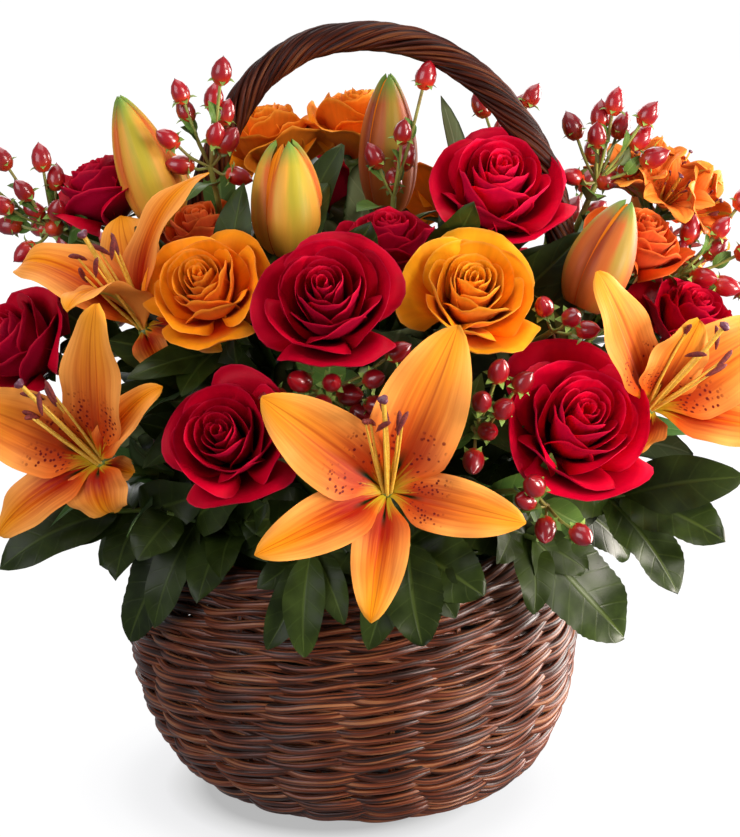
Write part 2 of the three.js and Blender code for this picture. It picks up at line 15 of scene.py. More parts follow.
import bmesh
import bpy
import numpy as np
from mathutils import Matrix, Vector

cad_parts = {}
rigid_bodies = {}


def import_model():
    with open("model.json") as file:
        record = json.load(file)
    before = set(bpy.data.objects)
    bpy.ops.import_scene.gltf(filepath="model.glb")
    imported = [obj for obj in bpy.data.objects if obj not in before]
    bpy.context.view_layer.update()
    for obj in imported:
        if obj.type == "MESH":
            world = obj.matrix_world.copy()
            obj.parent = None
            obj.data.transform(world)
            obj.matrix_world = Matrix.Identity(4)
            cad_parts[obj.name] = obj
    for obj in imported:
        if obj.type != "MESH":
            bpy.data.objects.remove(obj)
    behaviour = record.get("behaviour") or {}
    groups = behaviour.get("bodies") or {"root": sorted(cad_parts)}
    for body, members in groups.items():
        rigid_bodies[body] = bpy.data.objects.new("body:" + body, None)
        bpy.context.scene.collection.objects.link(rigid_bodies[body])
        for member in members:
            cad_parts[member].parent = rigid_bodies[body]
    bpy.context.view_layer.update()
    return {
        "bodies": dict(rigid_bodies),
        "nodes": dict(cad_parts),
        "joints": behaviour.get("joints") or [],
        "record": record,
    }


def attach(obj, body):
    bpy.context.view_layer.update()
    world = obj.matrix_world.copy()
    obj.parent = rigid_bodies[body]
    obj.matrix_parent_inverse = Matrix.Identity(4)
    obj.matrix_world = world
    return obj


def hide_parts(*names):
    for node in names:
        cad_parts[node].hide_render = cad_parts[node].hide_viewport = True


LOG = logging.getLogger("flower_basket")
Array = np.ndarray
Point = tuple[float, float, float]
Pair = tuple[float, float]
Tree = bpy.types.NodeTree
Node = bpy.types.Node
Socket = bpy.types.NodeSocket
MM = 0.001
TURN = 2 * math.pi
GOLDEN_ANGLE = math.radians(137.508)
UP = np.array((0.0, 0.0, 1.0))
ASKEW = (0.31, 0.94, 0.13)  # a direction that no stem, twig or anther runs along
STAMEN_ASKEW = (0.3, 0.2, 0.05)
FRAME: dict = {}


# ---------------------------------------------------------------- small mathematics
def linear(colour: int) -> tuple[float, float, float, float]:
    """An sRGB hex colour as the linear RGBA that shaders take."""
    channels = [((colour >> shift) & 255) / 255 for shift in (16, 8, 0)]
    lit = [c / 12.92 if c <= 0.04045 else ((c + 0.055) / 1.055) ** 2.4 for c in channels]
    return (*lit, 1.0)


def unit(vectors: Array) -> Array:
    """Vectors scaled to length one along their last axis."""
    length = np.linalg.norm(vectors, axis=-1, keepdims=True)
    return vectors / np.maximum(length, 1e-12)


def smoothstep(low: float, high: float, x: Array) -> Array:
    """A soft step from 0 at `low` to 1 at `high`."""
    t = np.clip((x - low) / (high - low), 0.0, 1.0)
    return t * t * (3.0 - 2.0 * t)


def spoke(turn: float) -> Array:
    """The level direction at an angle about +Z."""
    return np.array((math.cos(turn), math.sin(turn), 0.0))


def polar(radius: Array, turn: Array | float, height: Array) -> Array:
    """Points from their radii, angles and heights about +Z."""
    return np.stack(np.broadcast_arrays(radius * np.cos(turn), radius * np.sin(turn), height), axis=-1)


def basis(face: Sequence[float]) -> Array:
    """Rows right, up and out of a flower's face, as a viewer in front of it sees them."""
    out = unit(np.asarray(face, float))
    right = np.cross((0.0, 0.0, 1.0), out)
    right = unit(right) if np.linalg.norm(right) > 0.05 else np.array((1.0, 0.0, 0.0))
    return np.stack([right, np.cross(out, right), out])


def smooth_path(points: Sequence[Sequence[float]], count: int) -> Array:
    """A centripetal Catmull-Rom curve through points, at `count` evenly spaced lengths."""
    knots = np.asarray(points, float)
    ends = np.vstack([2 * knots[0] - knots[1], knots, 2 * knots[-1] - knots[-2]])
    steps = np.sqrt(np.linalg.norm(np.diff(ends, axis=0), axis=1))
    fine = []
    for i in range(len(knots) - 1):
        p0, p1, p2, p3 = ends[i : i + 4]
        t1, t2, t3 = np.cumsum(steps[i : i + 3])
        t = np.linspace(t1, t2, 24, endpoint=i == len(knots) - 2)[:, None]
        a1 = (t1 - t) / t1 * p0 + t / t1 * p1
        a2 = (t2 - t) / (t2 - t1) * p1 + (t - t1) / (t2 - t1) * p2
        a3 = (t3 - t) / (t3 - t2) * p2 + (t - t2) / (t3 - t2) * p3
        b1 = (t2 - t) / t2 * a1 + t / t2 * a2
        b2 = (t3 - t) / (t3 - t1) * a2 + (t - t1) / (t3 - t1) * a3
        fine.append((t2 - t) / (t2 - t1) * b1 + (t - t1) / (t2 - t1) * b2)
    return spaced(np.vstack(fine), count)


def spaced(path: Array, count: int) -> Array:
    """A path resampled at evenly spaced lengths."""
    length = np.concatenate([[0.0], np.cumsum(np.linalg.norm(np.diff(path, axis=0), axis=1))])
    at = np.linspace(0.0, length[-1], count)
    return np.stack([np.interp(at, length, path[:, k]) for k in range(3)], axis=1)


def grid(rows: int, columns: int) -> tuple[Array, Array]:
    """Parameters u from -1 to 1 across the columns and v from 0 to 1 along the rows."""
    u, v = np.meshgrid(np.linspace(-1.0, 1.0, columns), np.linspace(0.0, 1.0, rows))
    return u, v


# ---------------------------------------------------------------- meshes from grids
@dataclass
class Patch:
    """A piece of mesh: points in millimetres, quads, a UV per quad corner and a tone per point."""

    points: Array
    quads: Array
    uvs: Array
    tones: Array
    slot: int = 0

    def put(self, turn: Array, at: Sequence[float] | Array) -> "Patch":
        """The patch, turned by a basis and moved to a place."""
        self.points = self.points @ turn + np.asarray(at, float)
        return self


def cells(rows: int, columns: int, round_rows: bool, round_columns: bool) -> tuple[Array, Array]:
    """The quads of a grid of points, and the row and column of each of their corners.

    Args:
        rows: Rows of points.
        columns: Columns of points.
        round_rows: Whether the last row joins the first.
        round_columns: Whether the last column joins the first.

    Returns:
        Point numbers, shape (quads, 4), and unwrapped (row, column) places, shape (quads, 4, 2).
    """
    row = np.arange(rows - (not round_rows))
    column = np.arange(columns - (not round_columns))
    i, j = (a.ravel() for a in np.meshgrid(row, column, indexing="ij"))
    corners = ((0, 0), (0, 1), (1, 1), (1, 0))
    places = np.stack([np.stack([i + a, j + b], axis=1) for a, b in corners], axis=1)
    quads = (places[..., 0] % rows) * columns + places[..., 1] % columns
    return quads, places


def tinted(count: int, random: float, side: float, depth: float) -> Array:
    """A tone for each point: a random share, which side it is on, and its place from inside out."""
    return np.tile((random, side, depth, 1.0), (count, 1))


def sheet(points: Array, thickness: float, random: float, depth: float = 0.0, slot: int = 0) -> Patch:
    """A thin closed leaf or petal: a grid moved half its thickness each way along its normals.

    Args:
        points: The middle surface, shape (rows, columns, 3).
        thickness: Its thickness, which runs out to nothing at the rim.
        random: A random share for its tone.
        depth: Its place from the inside of the flower to the outside, 0 to 1.
        slot: Its material slot.

    Returns:
        The patch, with tone 0 on the side that the normals leave and 1 behind it.
    """
    rows, columns = points.shape[:2]
    normals = unit(np.cross(np.gradient(points, axis=1), np.gradient(points, axis=0)))
    inside = np.zeros((rows, columns), bool)
    inside[1:-1, 1:-1] = True
    front = points + normals * inside[..., None] * thickness / 2
    back = (points - normals * thickness / 2)[inside]
    behind = np.arange(rows * columns)
    behind[inside.ravel()] = rows * columns + np.arange(len(back))
    quads, places = cells(rows, columns, False, False)
    uvs = places[..., ::-1] / np.array([columns - 1, rows - 1])
    tones = tinted(rows * columns + len(back), random, 0.0, depth)
    tones[rows * columns :, 1] = 1.0
    faces = np.vstack([quads, behind[quads][:, ::-1]])
    points = np.vstack([front.reshape(-1, 3), back])
    return Patch(points, faces, np.concatenate([uvs, uvs[:, ::-1]]), tones, slot)


def tube(
    path: Array,
    radius: Array | float,
    sides: int,
    upright: Sequence[float] | Array = (0.0, 0.0, 1.0),
    loop: bool = False,
    random: float = 0.5,
    slot: int = 0,
) -> Patch:
    """A round rod: a ring of points square to the path at each of its points, with round ends.

    Args:
        path: The middle line, shape (n, 3).
        radius: One radius, or one for each point.
        sides: Points round the ring.
        upright: A direction that the path never runs along.
        loop: Whether the path closes on itself.
        random: A random share for its tone.
        slot: Its material slot.

    Returns:
        The patch. Its UVs are the millimetres round and along it.
    """
    radius = np.broadcast_to(np.asarray(radius, float), len(path)).copy()
    if loop:
        way = np.roll(path, -1, axis=0) - np.roll(path, 1, axis=0)
    else:
        path = np.vstack([path[:1], path, path[-1:]])
        radius = np.concatenate([[0.0], radius, [0.0]])
        way = np.gradient(path, axis=0)
        way[0], way[-1] = way[1], way[-2]
    side = unit(np.cross(way, upright))
    over = unit(np.cross(side, way))
    turn = np.linspace(0.0, TURN, sides, endpoint=False)
    ring = side[:, None] * np.cos(turn)[:, None] + over[:, None] * np.sin(turn)[:, None]
    points = (path[:, None] + ring * radius[:, None, None]).reshape(-1, 3)
    quads, places = cells(len(path), sides, loop, True)
    along = np.concatenate([[0.0], np.cumsum(np.linalg.norm(np.diff(path, axis=0), axis=1))])
    if loop:
        along = np.append(along, along[-1] + np.linalg.norm(path[0] - path[-1]))
    round_mm = TURN * float(radius.max()) / sides
    uvs = np.stack([places[..., 1] * round_mm, along[places[..., 0]]], axis=-1)
    return Patch(points, quads[:, ::-1], uvs[:, ::-1], tinted(len(points), random, 0.0, 0.0), slot)


def turned(
    profile: Array,
    sides: int,
    slot: int = 0,
    lobes: Callable[[Array], Array] = np.ones_like,
    random: float = 0.5,
) -> Patch:
    """A surface of revolution about +Z.

    Args:
        profile: Rows of [radius, height].
        sides: Points round it.
        slot: Its material slot.
        lobes: Scales the radius by angle.
        random: A random share for its tone.

    Returns:
        The patch. Its UVs run from 0 to 1 round it and up its profile.
    """
    turn = np.linspace(0.0, TURN, sides, endpoint=False)
    points = polar(profile[:, :1] * lobes(turn)[None], turn, profile[:, 1:]).reshape(-1, 3)
    quads, places = cells(len(profile), sides, False, True)
    uvs = np.stack([places[..., 1] / sides, places[..., 0] / (len(profile) - 1)], axis=-1)
    return Patch(points, quads, uvs, tinted(len(points), random, 0.0, 0.0), slot)


@dataclass
class Piece:
    """Patches gathered into one mesh object that stands for one CAD node."""

    name: str
    node: str
    slot_name: str
    finishes: Sequence["Finish"]
    patches: list[Patch] = field(default_factory=list)

    def add(self, *patches: Patch) -> None:
        """Takes patches in."""
        self.patches.extend(patches)

    def build(self) -> None:
        """Makes the mesh object, rides it on the part and hides the CAD node that it stands for."""
        starts = np.cumsum([0] + [len(p.points) for p in self.patches[:-1]])
        mesh = bpy.data.meshes.new(self.name)
        quads = np.vstack([p.quads + start for p, start in zip(self.patches, starts)])
        mesh.from_pydata(np.vstack([p.points for p in self.patches]) * MM, [], quads)
        slots = np.concatenate([np.full(len(p.quads), p.slot, np.int32) for p in self.patches])
        mesh.polygons.foreach_set("material_index", slots)
        uv_map = mesh.uv_layers.new(name="UVMap")
        uv_map.data.foreach_set("uv", np.concatenate([p.uvs.ravel() for p in self.patches]))
        tone = mesh.attributes.new("tone", "FLOAT_COLOR", "POINT")
        tone.data.foreach_set("color", np.vstack([p.tones for p in self.patches]).ravel())
        for finish in self.finishes:
            mesh.materials.append(finish.material())
        self.close(mesh)
        mesh.polygons.foreach_set("use_smooth", np.ones(len(mesh.polygons), bool))
        mesh.set_sharp_from_angle(angle=math.radians(70))
        made = bpy.data.objects.new(self.name, mesh)
        bpy.context.scene.collection.objects.link(made)
        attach(made, "root")
        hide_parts(self.node)
        LOG.info("%s: %d faces", self.name, len(mesh.polygons))

    @staticmethod
    def close(mesh: bpy.types.Mesh) -> None:
        """Merges the points that meet at poles and rod ends."""
        work = bmesh.new()
        work.from_mesh(mesh)
        bmesh.ops.remove_doubles(work, verts=work.verts, dist=1e-6)
        work.to_mesh(mesh)
        work.free()


# ---------------------------------------------------------------- finishes
def add_node(
    tree: Tree,
    kind: str,
    inputs: dict[str | int, object] | None = None,
    stops: Sequence[tuple[float, int]] = (),
    **settings: object,
) -> Node:
    """Adds a shader node.

    Args:
        tree: The material's node tree.
        kind: The node's type, without its ShaderNode prefix.
        inputs: For each input, the output that feeds it or the value that it is set to.
        stops: For a colour ramp, its (place, sRGB hex) stops.
        **settings: The node's own properties.

    Returns:
        The node.
    """
    made = tree.nodes.new("ShaderNode" + kind)
    for name, value in settings.items():
        setattr(made, name, value)
    for key, value in (inputs or {}).items():
        if isinstance(value, Socket):
            tree.links.new(value, made.inputs[key])
        else:
            made.inputs[key].default_value = value
    if stops:
        ramp = made.color_ramp.elements
        while len(ramp) < len(stops):
            ramp.new(1.0)
        for element, (place, colour) in zip(ramp, stops):
            element.position = place
            element.color = linear(colour)
    return made


@dataclass(frozen=True)
class Wiring:
    """Short calls for the shader nodes that the finishes share."""

    tree: Tree

    def uv(self) -> tuple[Socket, Socket]:
        """The UV map's two coordinates."""
        parts = add_node(self.tree, "SeparateXYZ", {0: add_node(self.tree, "TexCoord").outputs["UV"]})
        return parts.outputs[0], parts.outputs[1]

    def place(self) -> Socket:
        """The place on the object, in metres."""
        return add_node(self.tree, "TexCoord").outputs["Object"]

    def tone(self) -> Sequence[Socket]:
        """The tone's random share, side and depth."""
        attribute = add_node(self.tree, "Attribute", attribute_name="tone")
        return add_node(self.tree, "SeparateColor", {0: attribute.outputs["Color"]}).outputs[:3]

    def math(self, operation: str, *values: object) -> Socket:
        """One step of arithmetic."""
        return add_node(self.tree, "Math", dict(enumerate(values)), operation=operation).outputs[0]

    def times(self, one: object, other: object) -> Socket:
        """One value times another."""
        return self.math("MULTIPLY", one, other)

    def line(self, value: object, slope: object, start: object) -> Socket:
        """A value times a slope, plus a start."""
        return self.math("MULTIPLY_ADD", value, slope, start)

    def fade(self, value: Socket, start: float, end: float, most: float = 1.0) -> Socket:
        """Nothing up to the start, then evenly more up to the most at the end."""
        places = {0: value, 1: start, 2: end, 3: 0.0, 4: most}
        return add_node(self.tree, "MapRange", places, clamp=True).outputs[0]

    def vector(self, x: object, y: object, z: object) -> Socket:
        """A vector from three values."""
        return add_node(self.tree, "CombineXYZ", {0: x, 1: y, 2: z}).outputs[0]

    def noise(self, place: Socket, scale: float = 1.0, detail: float = 2.0) -> Socket:
        """Soft noise at a place."""
        inputs = {"Vector": place, "Scale": scale, "Detail": detail}
        return add_node(self.tree, "TexNoise", inputs).outputs[0]

    def ramp(self, value: Socket, *stops: tuple[float, int]) -> Socket:
        """A colour ramp."""
        return add_node(self.tree, "ValToRGB", {0: value}, stops).outputs[0]

    def mix(self, share: object, one: object, other: object) -> Socket:
        """One colour over another."""
        return add_node(self.tree, "Mix", {0: share, 6: one, 7: other}, data_type="RGBA").outputs[2]

    def toned(self, colour: Socket, value: Socket) -> Socket:
        """A colour made lighter or darker."""
        return add_node(self.tree, "HueSaturation", {"Color": colour, "Value": value}).outputs[0]

    def surface(
        self,
        colour: object,
        roughness: object,
        relief: tuple[Socket, float, float] | None = None,
        more: dict[str, object] | None = None,
    ) -> Node:
        """The surface itself.

        Args:
            colour: Its colour.
            roughness: Its roughness.
            relief: The height of its relief, the strength, and the depth in metres.
            more: Its other inputs by name.

        Returns:
            The shader's node.
        """
        inputs = {"Base Color": colour, "Roughness": roughness, **(more or {})}
        if relief:
            bump = dict(zip(("Height", "Strength", "Distance"), relief))
            inputs["Normal"] = add_node(self.tree, "Bump", bump).outputs[0]
        return add_node(self.tree, "BsdfPrincipled", inputs)


@dataclass(frozen=True)
class Finish:
    """A surface finish; each kind below says how its shader is wired."""

    name: str

    def material(self) -> bpy.types.Material:
        """The finish's material, made once and then shared."""
        known = bpy.data.materials.get(self.name)
        if known:
            return known
        made = bpy.data.materials.new(self.name)
        made.use_nodes = True
        made.node_tree.nodes.clear()
        shader = self.wire(made.node_tree)
        add_node(made.node_tree, "OutputMaterial", {"Surface": shader.outputs[0]})
        return made

    def wire(self, tree: Tree) -> Node:
        """Builds the shader and returns its last node."""
        raise NotImplementedError


@dataclass(frozen=True)
class RosePetal(Finish):
    """A rose petal's skin: matt velvet of tiny cones, painted darker towards its foot as shade in the fold,
    and paler on the very rim.
    """

    # fold: painted shade at the petal's foot, where it lies down in the flower's folds
    fold: int = 0x5C000C
    face: int = 0xC00024
    rim: int = 0xCC1A3C
    back: int = 0x9C042C
    sheen: int = 0xFF2A50
    sheen_weight: float = 0.05

    def wire(self, tree: Tree) -> Node:
        """Colour by length along the petal and by side, with fine veins that run up it."""
        w = Wiring(tree)
        u, v = w.uv()
        random, side, depth = w.tone()
        # The fold colour is painted shade down in the flower's folds. Outer petals are lit further down, so
        # their face colour starts nearer the foot.
        raised = w.line(w.times(v, w.line(v, -1.0, 1.0)), w.times(depth, 0.6), v)
        low, high, end = (0.5, self.fold), (0.965, self.face), (1.0, self.rim)
        front = w.ramp(raised, (0.0, self.fold), low, (0.82, self.face), high, end)
        # The back too is painted darker towards its foot, as shade in the fold.
        behind = w.ramp(v, (0.1, self.fold), (0.55, self.back), (0.965, self.back), end)
        # Veins fan up the petal about 1 mm apart; they are drawn a little coarser so that they show.
        veins = w.noise(w.vector(w.times(u, 30.0), w.times(v, 2.4), random))
        value = w.times(w.line(random, 0.24, 0.86), w.line(veins, 0.28, 0.86))
        colour = w.toned(w.mix(side, front, behind), value)
        velvet = {"Sheen Weight": self.sheen_weight, "Sheen Roughness": 0.4, "Sheen Tint": linear(self.sheen)}
        gloss = {"IOR": 1.4, "Specular IOR Level": 0.12}
        return w.surface(colour, 0.5, (veins, 0.14, 0.0006), gloss | velvet)


@dataclass(frozen=True)
class LilyPetal(Finish):
    """A lily tepal: waxy satin, pale at its edges (its own paler margin, lightened further as a painted
    highlight), fiery along the midrib, spotted near the throat.
    """

    throat: int = 0xB8A020
    fire: int = 0xA01C00
    middle: int = 0xD05E0A
    tip: int = 0xE88C12
    # edge_base, edge and edge_tip: the paler margin, partly the petal's own colour and partly painted
    # highlight
    edge_base: int = 0xD45814
    edge: int = 0xF09E4A
    edge_tip: int = 0xF4A634
    nectary: int = 0x16260A
    spot: int = 0x6A1410
    back: int = 0xE08C3A
    keel: int = 0xA8A040

    def wire(self, tree: Tree) -> Node:
        """Colour by distance from the midrib and from the throat, with raised spots.

        Tone blue is 1 on the petals that carry spots.
        """
        w = Wiring(tree)
        u, v = w.uv()
        random, side, spotted = w.tone()
        off_rib = w.math("ABSOLUTE", w.line(u, 2.0, -1.0))
        streaks = w.noise(w.vector(w.times(u, 20.0), w.times(v, 1.8), random), detail=3.0)
        wander = w.line(streaks, 0.5, -0.25)
        throat, fire = (0.02, self.throat), (0.3, self.fire)
        up_rib = w.math("ADD", v, wander)
        rib_colour = w.ramp(up_rib, throat, (0.13, self.fire), fire, (0.52, self.middle), (0.85, self.tip))
        # The pale edge colours are partly the petal's own margin and partly painted highlight.
        low_edge, edge_tip = (0.16, self.edge_base), (1.0, self.edge_tip)
        pale_edge_and_highlight = w.ramp(v, throat, low_edge, (0.5, self.edge), (0.8, self.edge), edge_tip)
        across = w.fade(w.math("ADD", off_rib, wander), 0.2, 1.0)
        # The petals that carry spots are paler at their base than those that don't.
        body = w.mix(w.math("MAXIMUM", across, w.times(spotted, 0.2)), rib_colour, pale_edge_and_highlight)
        # Two fine lines run up beside the midrib, which is dark down in the throat.
        lines = w.fade(w.math("ABSOLUTE", w.math("ADD", off_rib, -0.12)), 0.045, 0.01, 0.45)
        rib = w.fade(off_rib, 0.16, 0.05)
        low_rib = w.times(rib, w.fade(v, 0.27, 0.16))
        ribbed = w.mix(low_rib, w.mix(lines, body, linear(self.fire)), linear(self.nectary))
        # Spots stand about 2.5 mm apart, either side of the midrib, below the petal's middle.
        cell_place = w.vector(w.times(u, 14.0), w.times(v, 32.0), random)
        inputs = {"Vector": cell_place, "Scale": 1.0, "Randomness": 0.85}
        dot = w.fade(add_node(tree, "TexVoronoi", inputs).outputs[0], 0.36, 0.24)
        band = w.times(w.fade(v, 0.1, 0.16), w.fade(v, 0.45, 0.36))
        flank = w.times(w.fade(off_rib, 0.14, 0.3), w.fade(off_rib, 0.9, 0.8))
        spots = w.times(w.times(dot, w.times(band, flank)), spotted)
        behind = w.mix(rib, linear(self.back), linear(self.keel))
        both = w.mix(side, w.mix(spots, ribbed, linear(self.spot)), behind)
        relief = w.math("ADD", w.times(streaks, 0.6), spots)
        gloss = {"IOR": 1.42, "Specular IOR Level": 0.12}
        return w.surface(w.toned(both, w.line(streaks, 0.22, 0.88)), 0.45, (relief, 0.25, 0.0008), gloss)


@dataclass(frozen=True)
class BudSkin(Finish):
    """A closed lily bud: satin skin, yellow-green along each lobe's keel and flushed towards its seams."""

    keel: int = 0xB0A030
    flush: int = 0xD49A38
    seam: int = 0xCC6628
    tip: int = 0x5F8A3A
    foot: int = 0xCC8E2C

    def wire(self, tree: Tree) -> Node:
        """Colour by angle round the bud in three lobes, and by height."""
        w = Wiring(tree)
        u, v = w.uv()
        lobe = w.math("COSINE", w.times(u, 3 * TURN))
        streaks = w.noise(w.vector(w.times(u, 30.0), w.times(v, 2.0), w.tone()[0]), detail=3.0)
        share = w.math("ADD", w.line(lobe, 0.5, 0.5), w.line(streaks, 0.5, -0.25))
        body = w.ramp(share, (0.04, self.keel), (0.34, self.flush), (0.7, self.flush), (0.92, self.seam))
        footed = w.mix(w.fade(v, 0.5, 0.15, 0.7), body, linear(self.foot))
        ended = w.mix(w.fade(v, 0.8, 0.97, 0.9), footed, linear(self.tip))
        colour = w.toned(ended, w.line(streaks, 0.4, 0.82))
        return w.surface(colour, 0.44, (streaks, 0.2, 0.0006), {"IOR": 1.42, "Specular IOR Level": 0.25})


@dataclass(frozen=True)
class LeafSkin(Finish):
    """A leaf's waxy face over a network of sunken veins, with a pale, dull underside."""

    face: int = 0x2C3A12
    shade: int = 0x182208
    vein: int = 0x56662A
    under: int = 0x7E8C60
    roughness: float = 0.34
    vein_pairs: float = 7.0
    under_vein: int = 0xA8B488

    def wire(self, tree: Tree) -> Node:
        """Veins rise from the midrib towards the tip; mottling varies the green between them."""
        w = Wiring(tree)
        u, v = w.uv()
        random, side, _ = w.tone()
        off_rib = w.math("ABSOLUTE", w.line(u, 2.0, -1.0))
        mottle = w.noise(w.place(), 90.0, 4.0)
        green = w.ramp(mottle, (0.3, self.shade), (0.7, self.face))
        saw = w.math("FRACT", w.times(w.line(off_rib, -0.16, v), self.vein_pairs))
        side_vein = w.fade(w.math("ABSOLUTE", w.math("ADD", saw, -0.5)), 0.08, 0.0, 0.25)
        veins = w.math("MAXIMUM", side_vein, w.fade(off_rib, 0.09, 0.03, 0.75))
        veined = w.mix(w.times(veins, 0.5), green, linear(self.vein))
        behind = w.mix(veins, linear(self.under), linear(self.under_vein))
        colour = w.toned(w.mix(side, veined, behind), w.line(random, 0.5, 0.75))
        height = w.math("ADD", w.times(veins, -1.0), w.times(mottle, 0.5))
        rough = w.line(side, 0.3, w.line(mottle, 0.15, self.roughness - 0.07))
        return w.surface(colour, rough, (height, 0.3, 0.0007), {"IOR": 1.45, "Specular IOR Level": 0.2})


@dataclass(frozen=True)
class BerrySkin(Finish):
    """A hypericum berry: a taut, glossy skin, crimson above and orange-red at its foot."""

    body: int = 0x8E0A16
    foot: int = 0xD0401A
    tip: int = 0x2A0608

    def wire(self, tree: Tree) -> Node:
        """Colour by height on the berry under a clear, wet-looking gloss."""
        w = Wiring(tree)
        foot, tip = (0.1, self.foot), (0.97, self.tip)
        body = w.ramp(w.uv()[1], foot, (0.45, self.body), (0.88, self.body), tip)
        colour = w.toned(body, w.line(w.tone()[0], 0.6, 0.7))
        return w.surface(colour, 0.3, None, {"IOR": 1.45, "Coat Weight": 0.6, "Coat Roughness": 0.08})


@dataclass(frozen=True)
class WillowRod(Finish):
    """A stained willow rod: thin bark under a worn varnish, streaked from rod to rod; the palest streaks are
    partly the bark's own and partly painted highlight.
    """

    dark: int = 0x1A0A05
    brown: int = 0x361507
    warm: int = 0x682C10
    # grey: the palest streaks, partly the bark's own colour and partly painted highlight
    grey: int = 0x8C5834
    coat: float = 0.22
    roughness: float = 0.42
    gloss: float = 0.29
    strand: float = 2.5  # mm
    sheen: float = 0.04
    bloom: int = 0xFFD8C4  # the tint of the dry bark's own sheen

    def wire(self, tree: Tree) -> Node:
        """Long streaks along each rod, which the UV map measures in millimetres."""
        w = Wiring(tree)
        u, v = w.uv()
        rod = w.times(w.tone()[0], 90.0)
        # Each rod is split into strands, with a crease between them in the relief; each strand's colour is
        # also painted lighter on its crown as highlight and darker in the crease as shade.
        drift = w.noise(w.vector(rod, w.times(v, 0.03), 5.0), detail=1.0)
        strand = w.line(u, 1.0 / self.strand, w.times(drift, 0.6))
        inside = w.math("FRACT", strand)
        crown = w.times(w.times(inside, 4.0), w.line(inside, -1.0, 1.0))
        # One tint for about each 50 mm of a strand, and bark streaks 1 mm wide and 20 mm long.
        one = w.line(w.math("FLOOR", strand), 7.3, rod)
        tint = w.noise(w.vector(one, w.times(v, 0.02), 0.0), detail=1.0)
        bark = w.noise(w.vector(w.times(u, 1.1), w.times(v, 0.04), rod), detail=4.0)
        # The crown term is painted highlight along each strand's crown and painted shade in its crease.
        share = w.line(tint, 0.5, w.line(crown, 0.12, w.line(bark, 0.5, -0.09)))
        # Its palest stop is partly the bark's own pale streaks and partly painted highlight.
        colour = w.ramp(share, (0.34, self.dark), (0.45, self.brown), (0.54, self.warm), (0.64, self.grey))
        rough = w.line(bark, 0.3, self.roughness - 0.15)
        varnish = {"IOR": 1.5, "Specular IOR Level": self.gloss}
        varnish |= {"Coat Weight": self.coat, "Coat Roughness": 0.3}
        dry = {"Sheen Weight": self.sheen, "Sheen Roughness": 0.35, "Sheen Tint": linear(self.bloom)}
        return w.surface(colour, rough, (w.line(bark, 0.6, crown), 0.5, 0.0007), varnish | dry)


@dataclass(frozen=True)
class GrainSkin(Finish):
    """A plain skin that a fine grain mottles with two close colours and roughens."""

    colour: int
    other: int
    roughness: float
    scale: float  # grains for each metre
    detail: float
    spread: float  # how far either side of the grain's mean the two colours sit
    strength: float
    depth: float  # m

    def wire(self, tree: Tree) -> Node:
        """One noise for both colour and relief."""
        w = Wiring(tree)
        grain = w.noise(w.place(), self.scale, self.detail)
        colour = w.ramp(grain, (0.5 - self.spread, self.colour), (0.5 + self.spread, self.other))
        return w.surface(colour, self.roughness, (grain, self.strength, self.depth))


@dataclass(frozen=True)
class FoamSkin(Finish):
    """Wet floral foam: a matt green crumb with open pores."""

    def wire(self, tree: Tree) -> Node:
        """Pores about 1 mm across, each painted darker towards its middle as shade down in the pore."""
        w = Wiring(tree)
        pores = add_node(tree, "TexVoronoi", {"Vector": w.place(), "Scale": 700.0}).outputs[0]
        return w.surface(w.ramp(pores, (0.1, 0x15301C), (0.6, 0x2F5A35)), 0.9, (pores, 0.6, 0.001))


@dataclass(frozen=True)
class FloorPaper(Finish):
    """A sweep of white studio paper, glowing white as if lit from all sides, with a painted soft shadow about
    the basket's foot.
    """

    # centre: the middle of the painted shadow, to the left of and in front of the foot
    centre: Point = (-0.018, -0.010, 0.0)  # m

    def wire(self, tree: Tree) -> Node:
        """The paper glows pure white, but its glow is painted grey over the 100 mm next to the foot, as a
        soft shadow.
        """
        w = Wiring(tree)
        away = add_node(tree, "VectorMath", {0: w.place(), 1: self.centre}, operation="DISTANCE")
        share = w.fade(away.outputs["Value"], 0.05, 0.15)
        # Painted shadow: the glow greys towards the foot.
        near = (0.05, 0xB4B4B4), (0.14, 0xD6D6D6), (0.25, 0xEBEBEC)
        shade = w.ramp(share, *near, (0.36, 0xEFEFF0), (0.5, 0xF8F8F9), (0.8, 0xFFFFFF))
        glow = {"Specular IOR Level": 0.0, "Emission Color": shade, "Emission Strength": 1.0}
        return w.surface(linear(0x383838), 0.9, None, glow)


# Willow in the bowl has a worn varnish, its palest streaks partly painted highlight; the handle's is darker
# and split into broader strands.
WILLOW = WillowRod("varnished_willow_rod")
HANDLE_WILLOW = WillowRod(
    "dark_varnished_willow", 0x140502, 0x2A0B04, 0x4A1C0B, 0x6C3E20, 0.0, 0.45, 0.17, 3.2, 0.0
)
# Rose petals: velvet, from blue-red to yellow-orange.
CRIMSON = RosePetal("crimson_rose_petal")
SCARLET = RosePetal("scarlet_rose_petal", 0x6C000E, 0xDC002E, 0xE42048, 0xB80838, 0xFF3458, 0.08)
ORANGE = RosePetal("orange_rose_petal", 0xDC3C03, 0xF89412, 0xF9A23A, 0xE2781C, 0xFFC080, 0.1)
AMBER = RosePetal("amber_rose_petal", 0xEE6808, 0xFCA818, 0xFBB440, 0xEE8A1C, 0xFFD890, 0.1)
CORAL = RosePetal("coral_rose_petal", 0x9A2406, 0xE25A18, 0xF08040, 0xD4582A, 0xFFB090, 0.1)
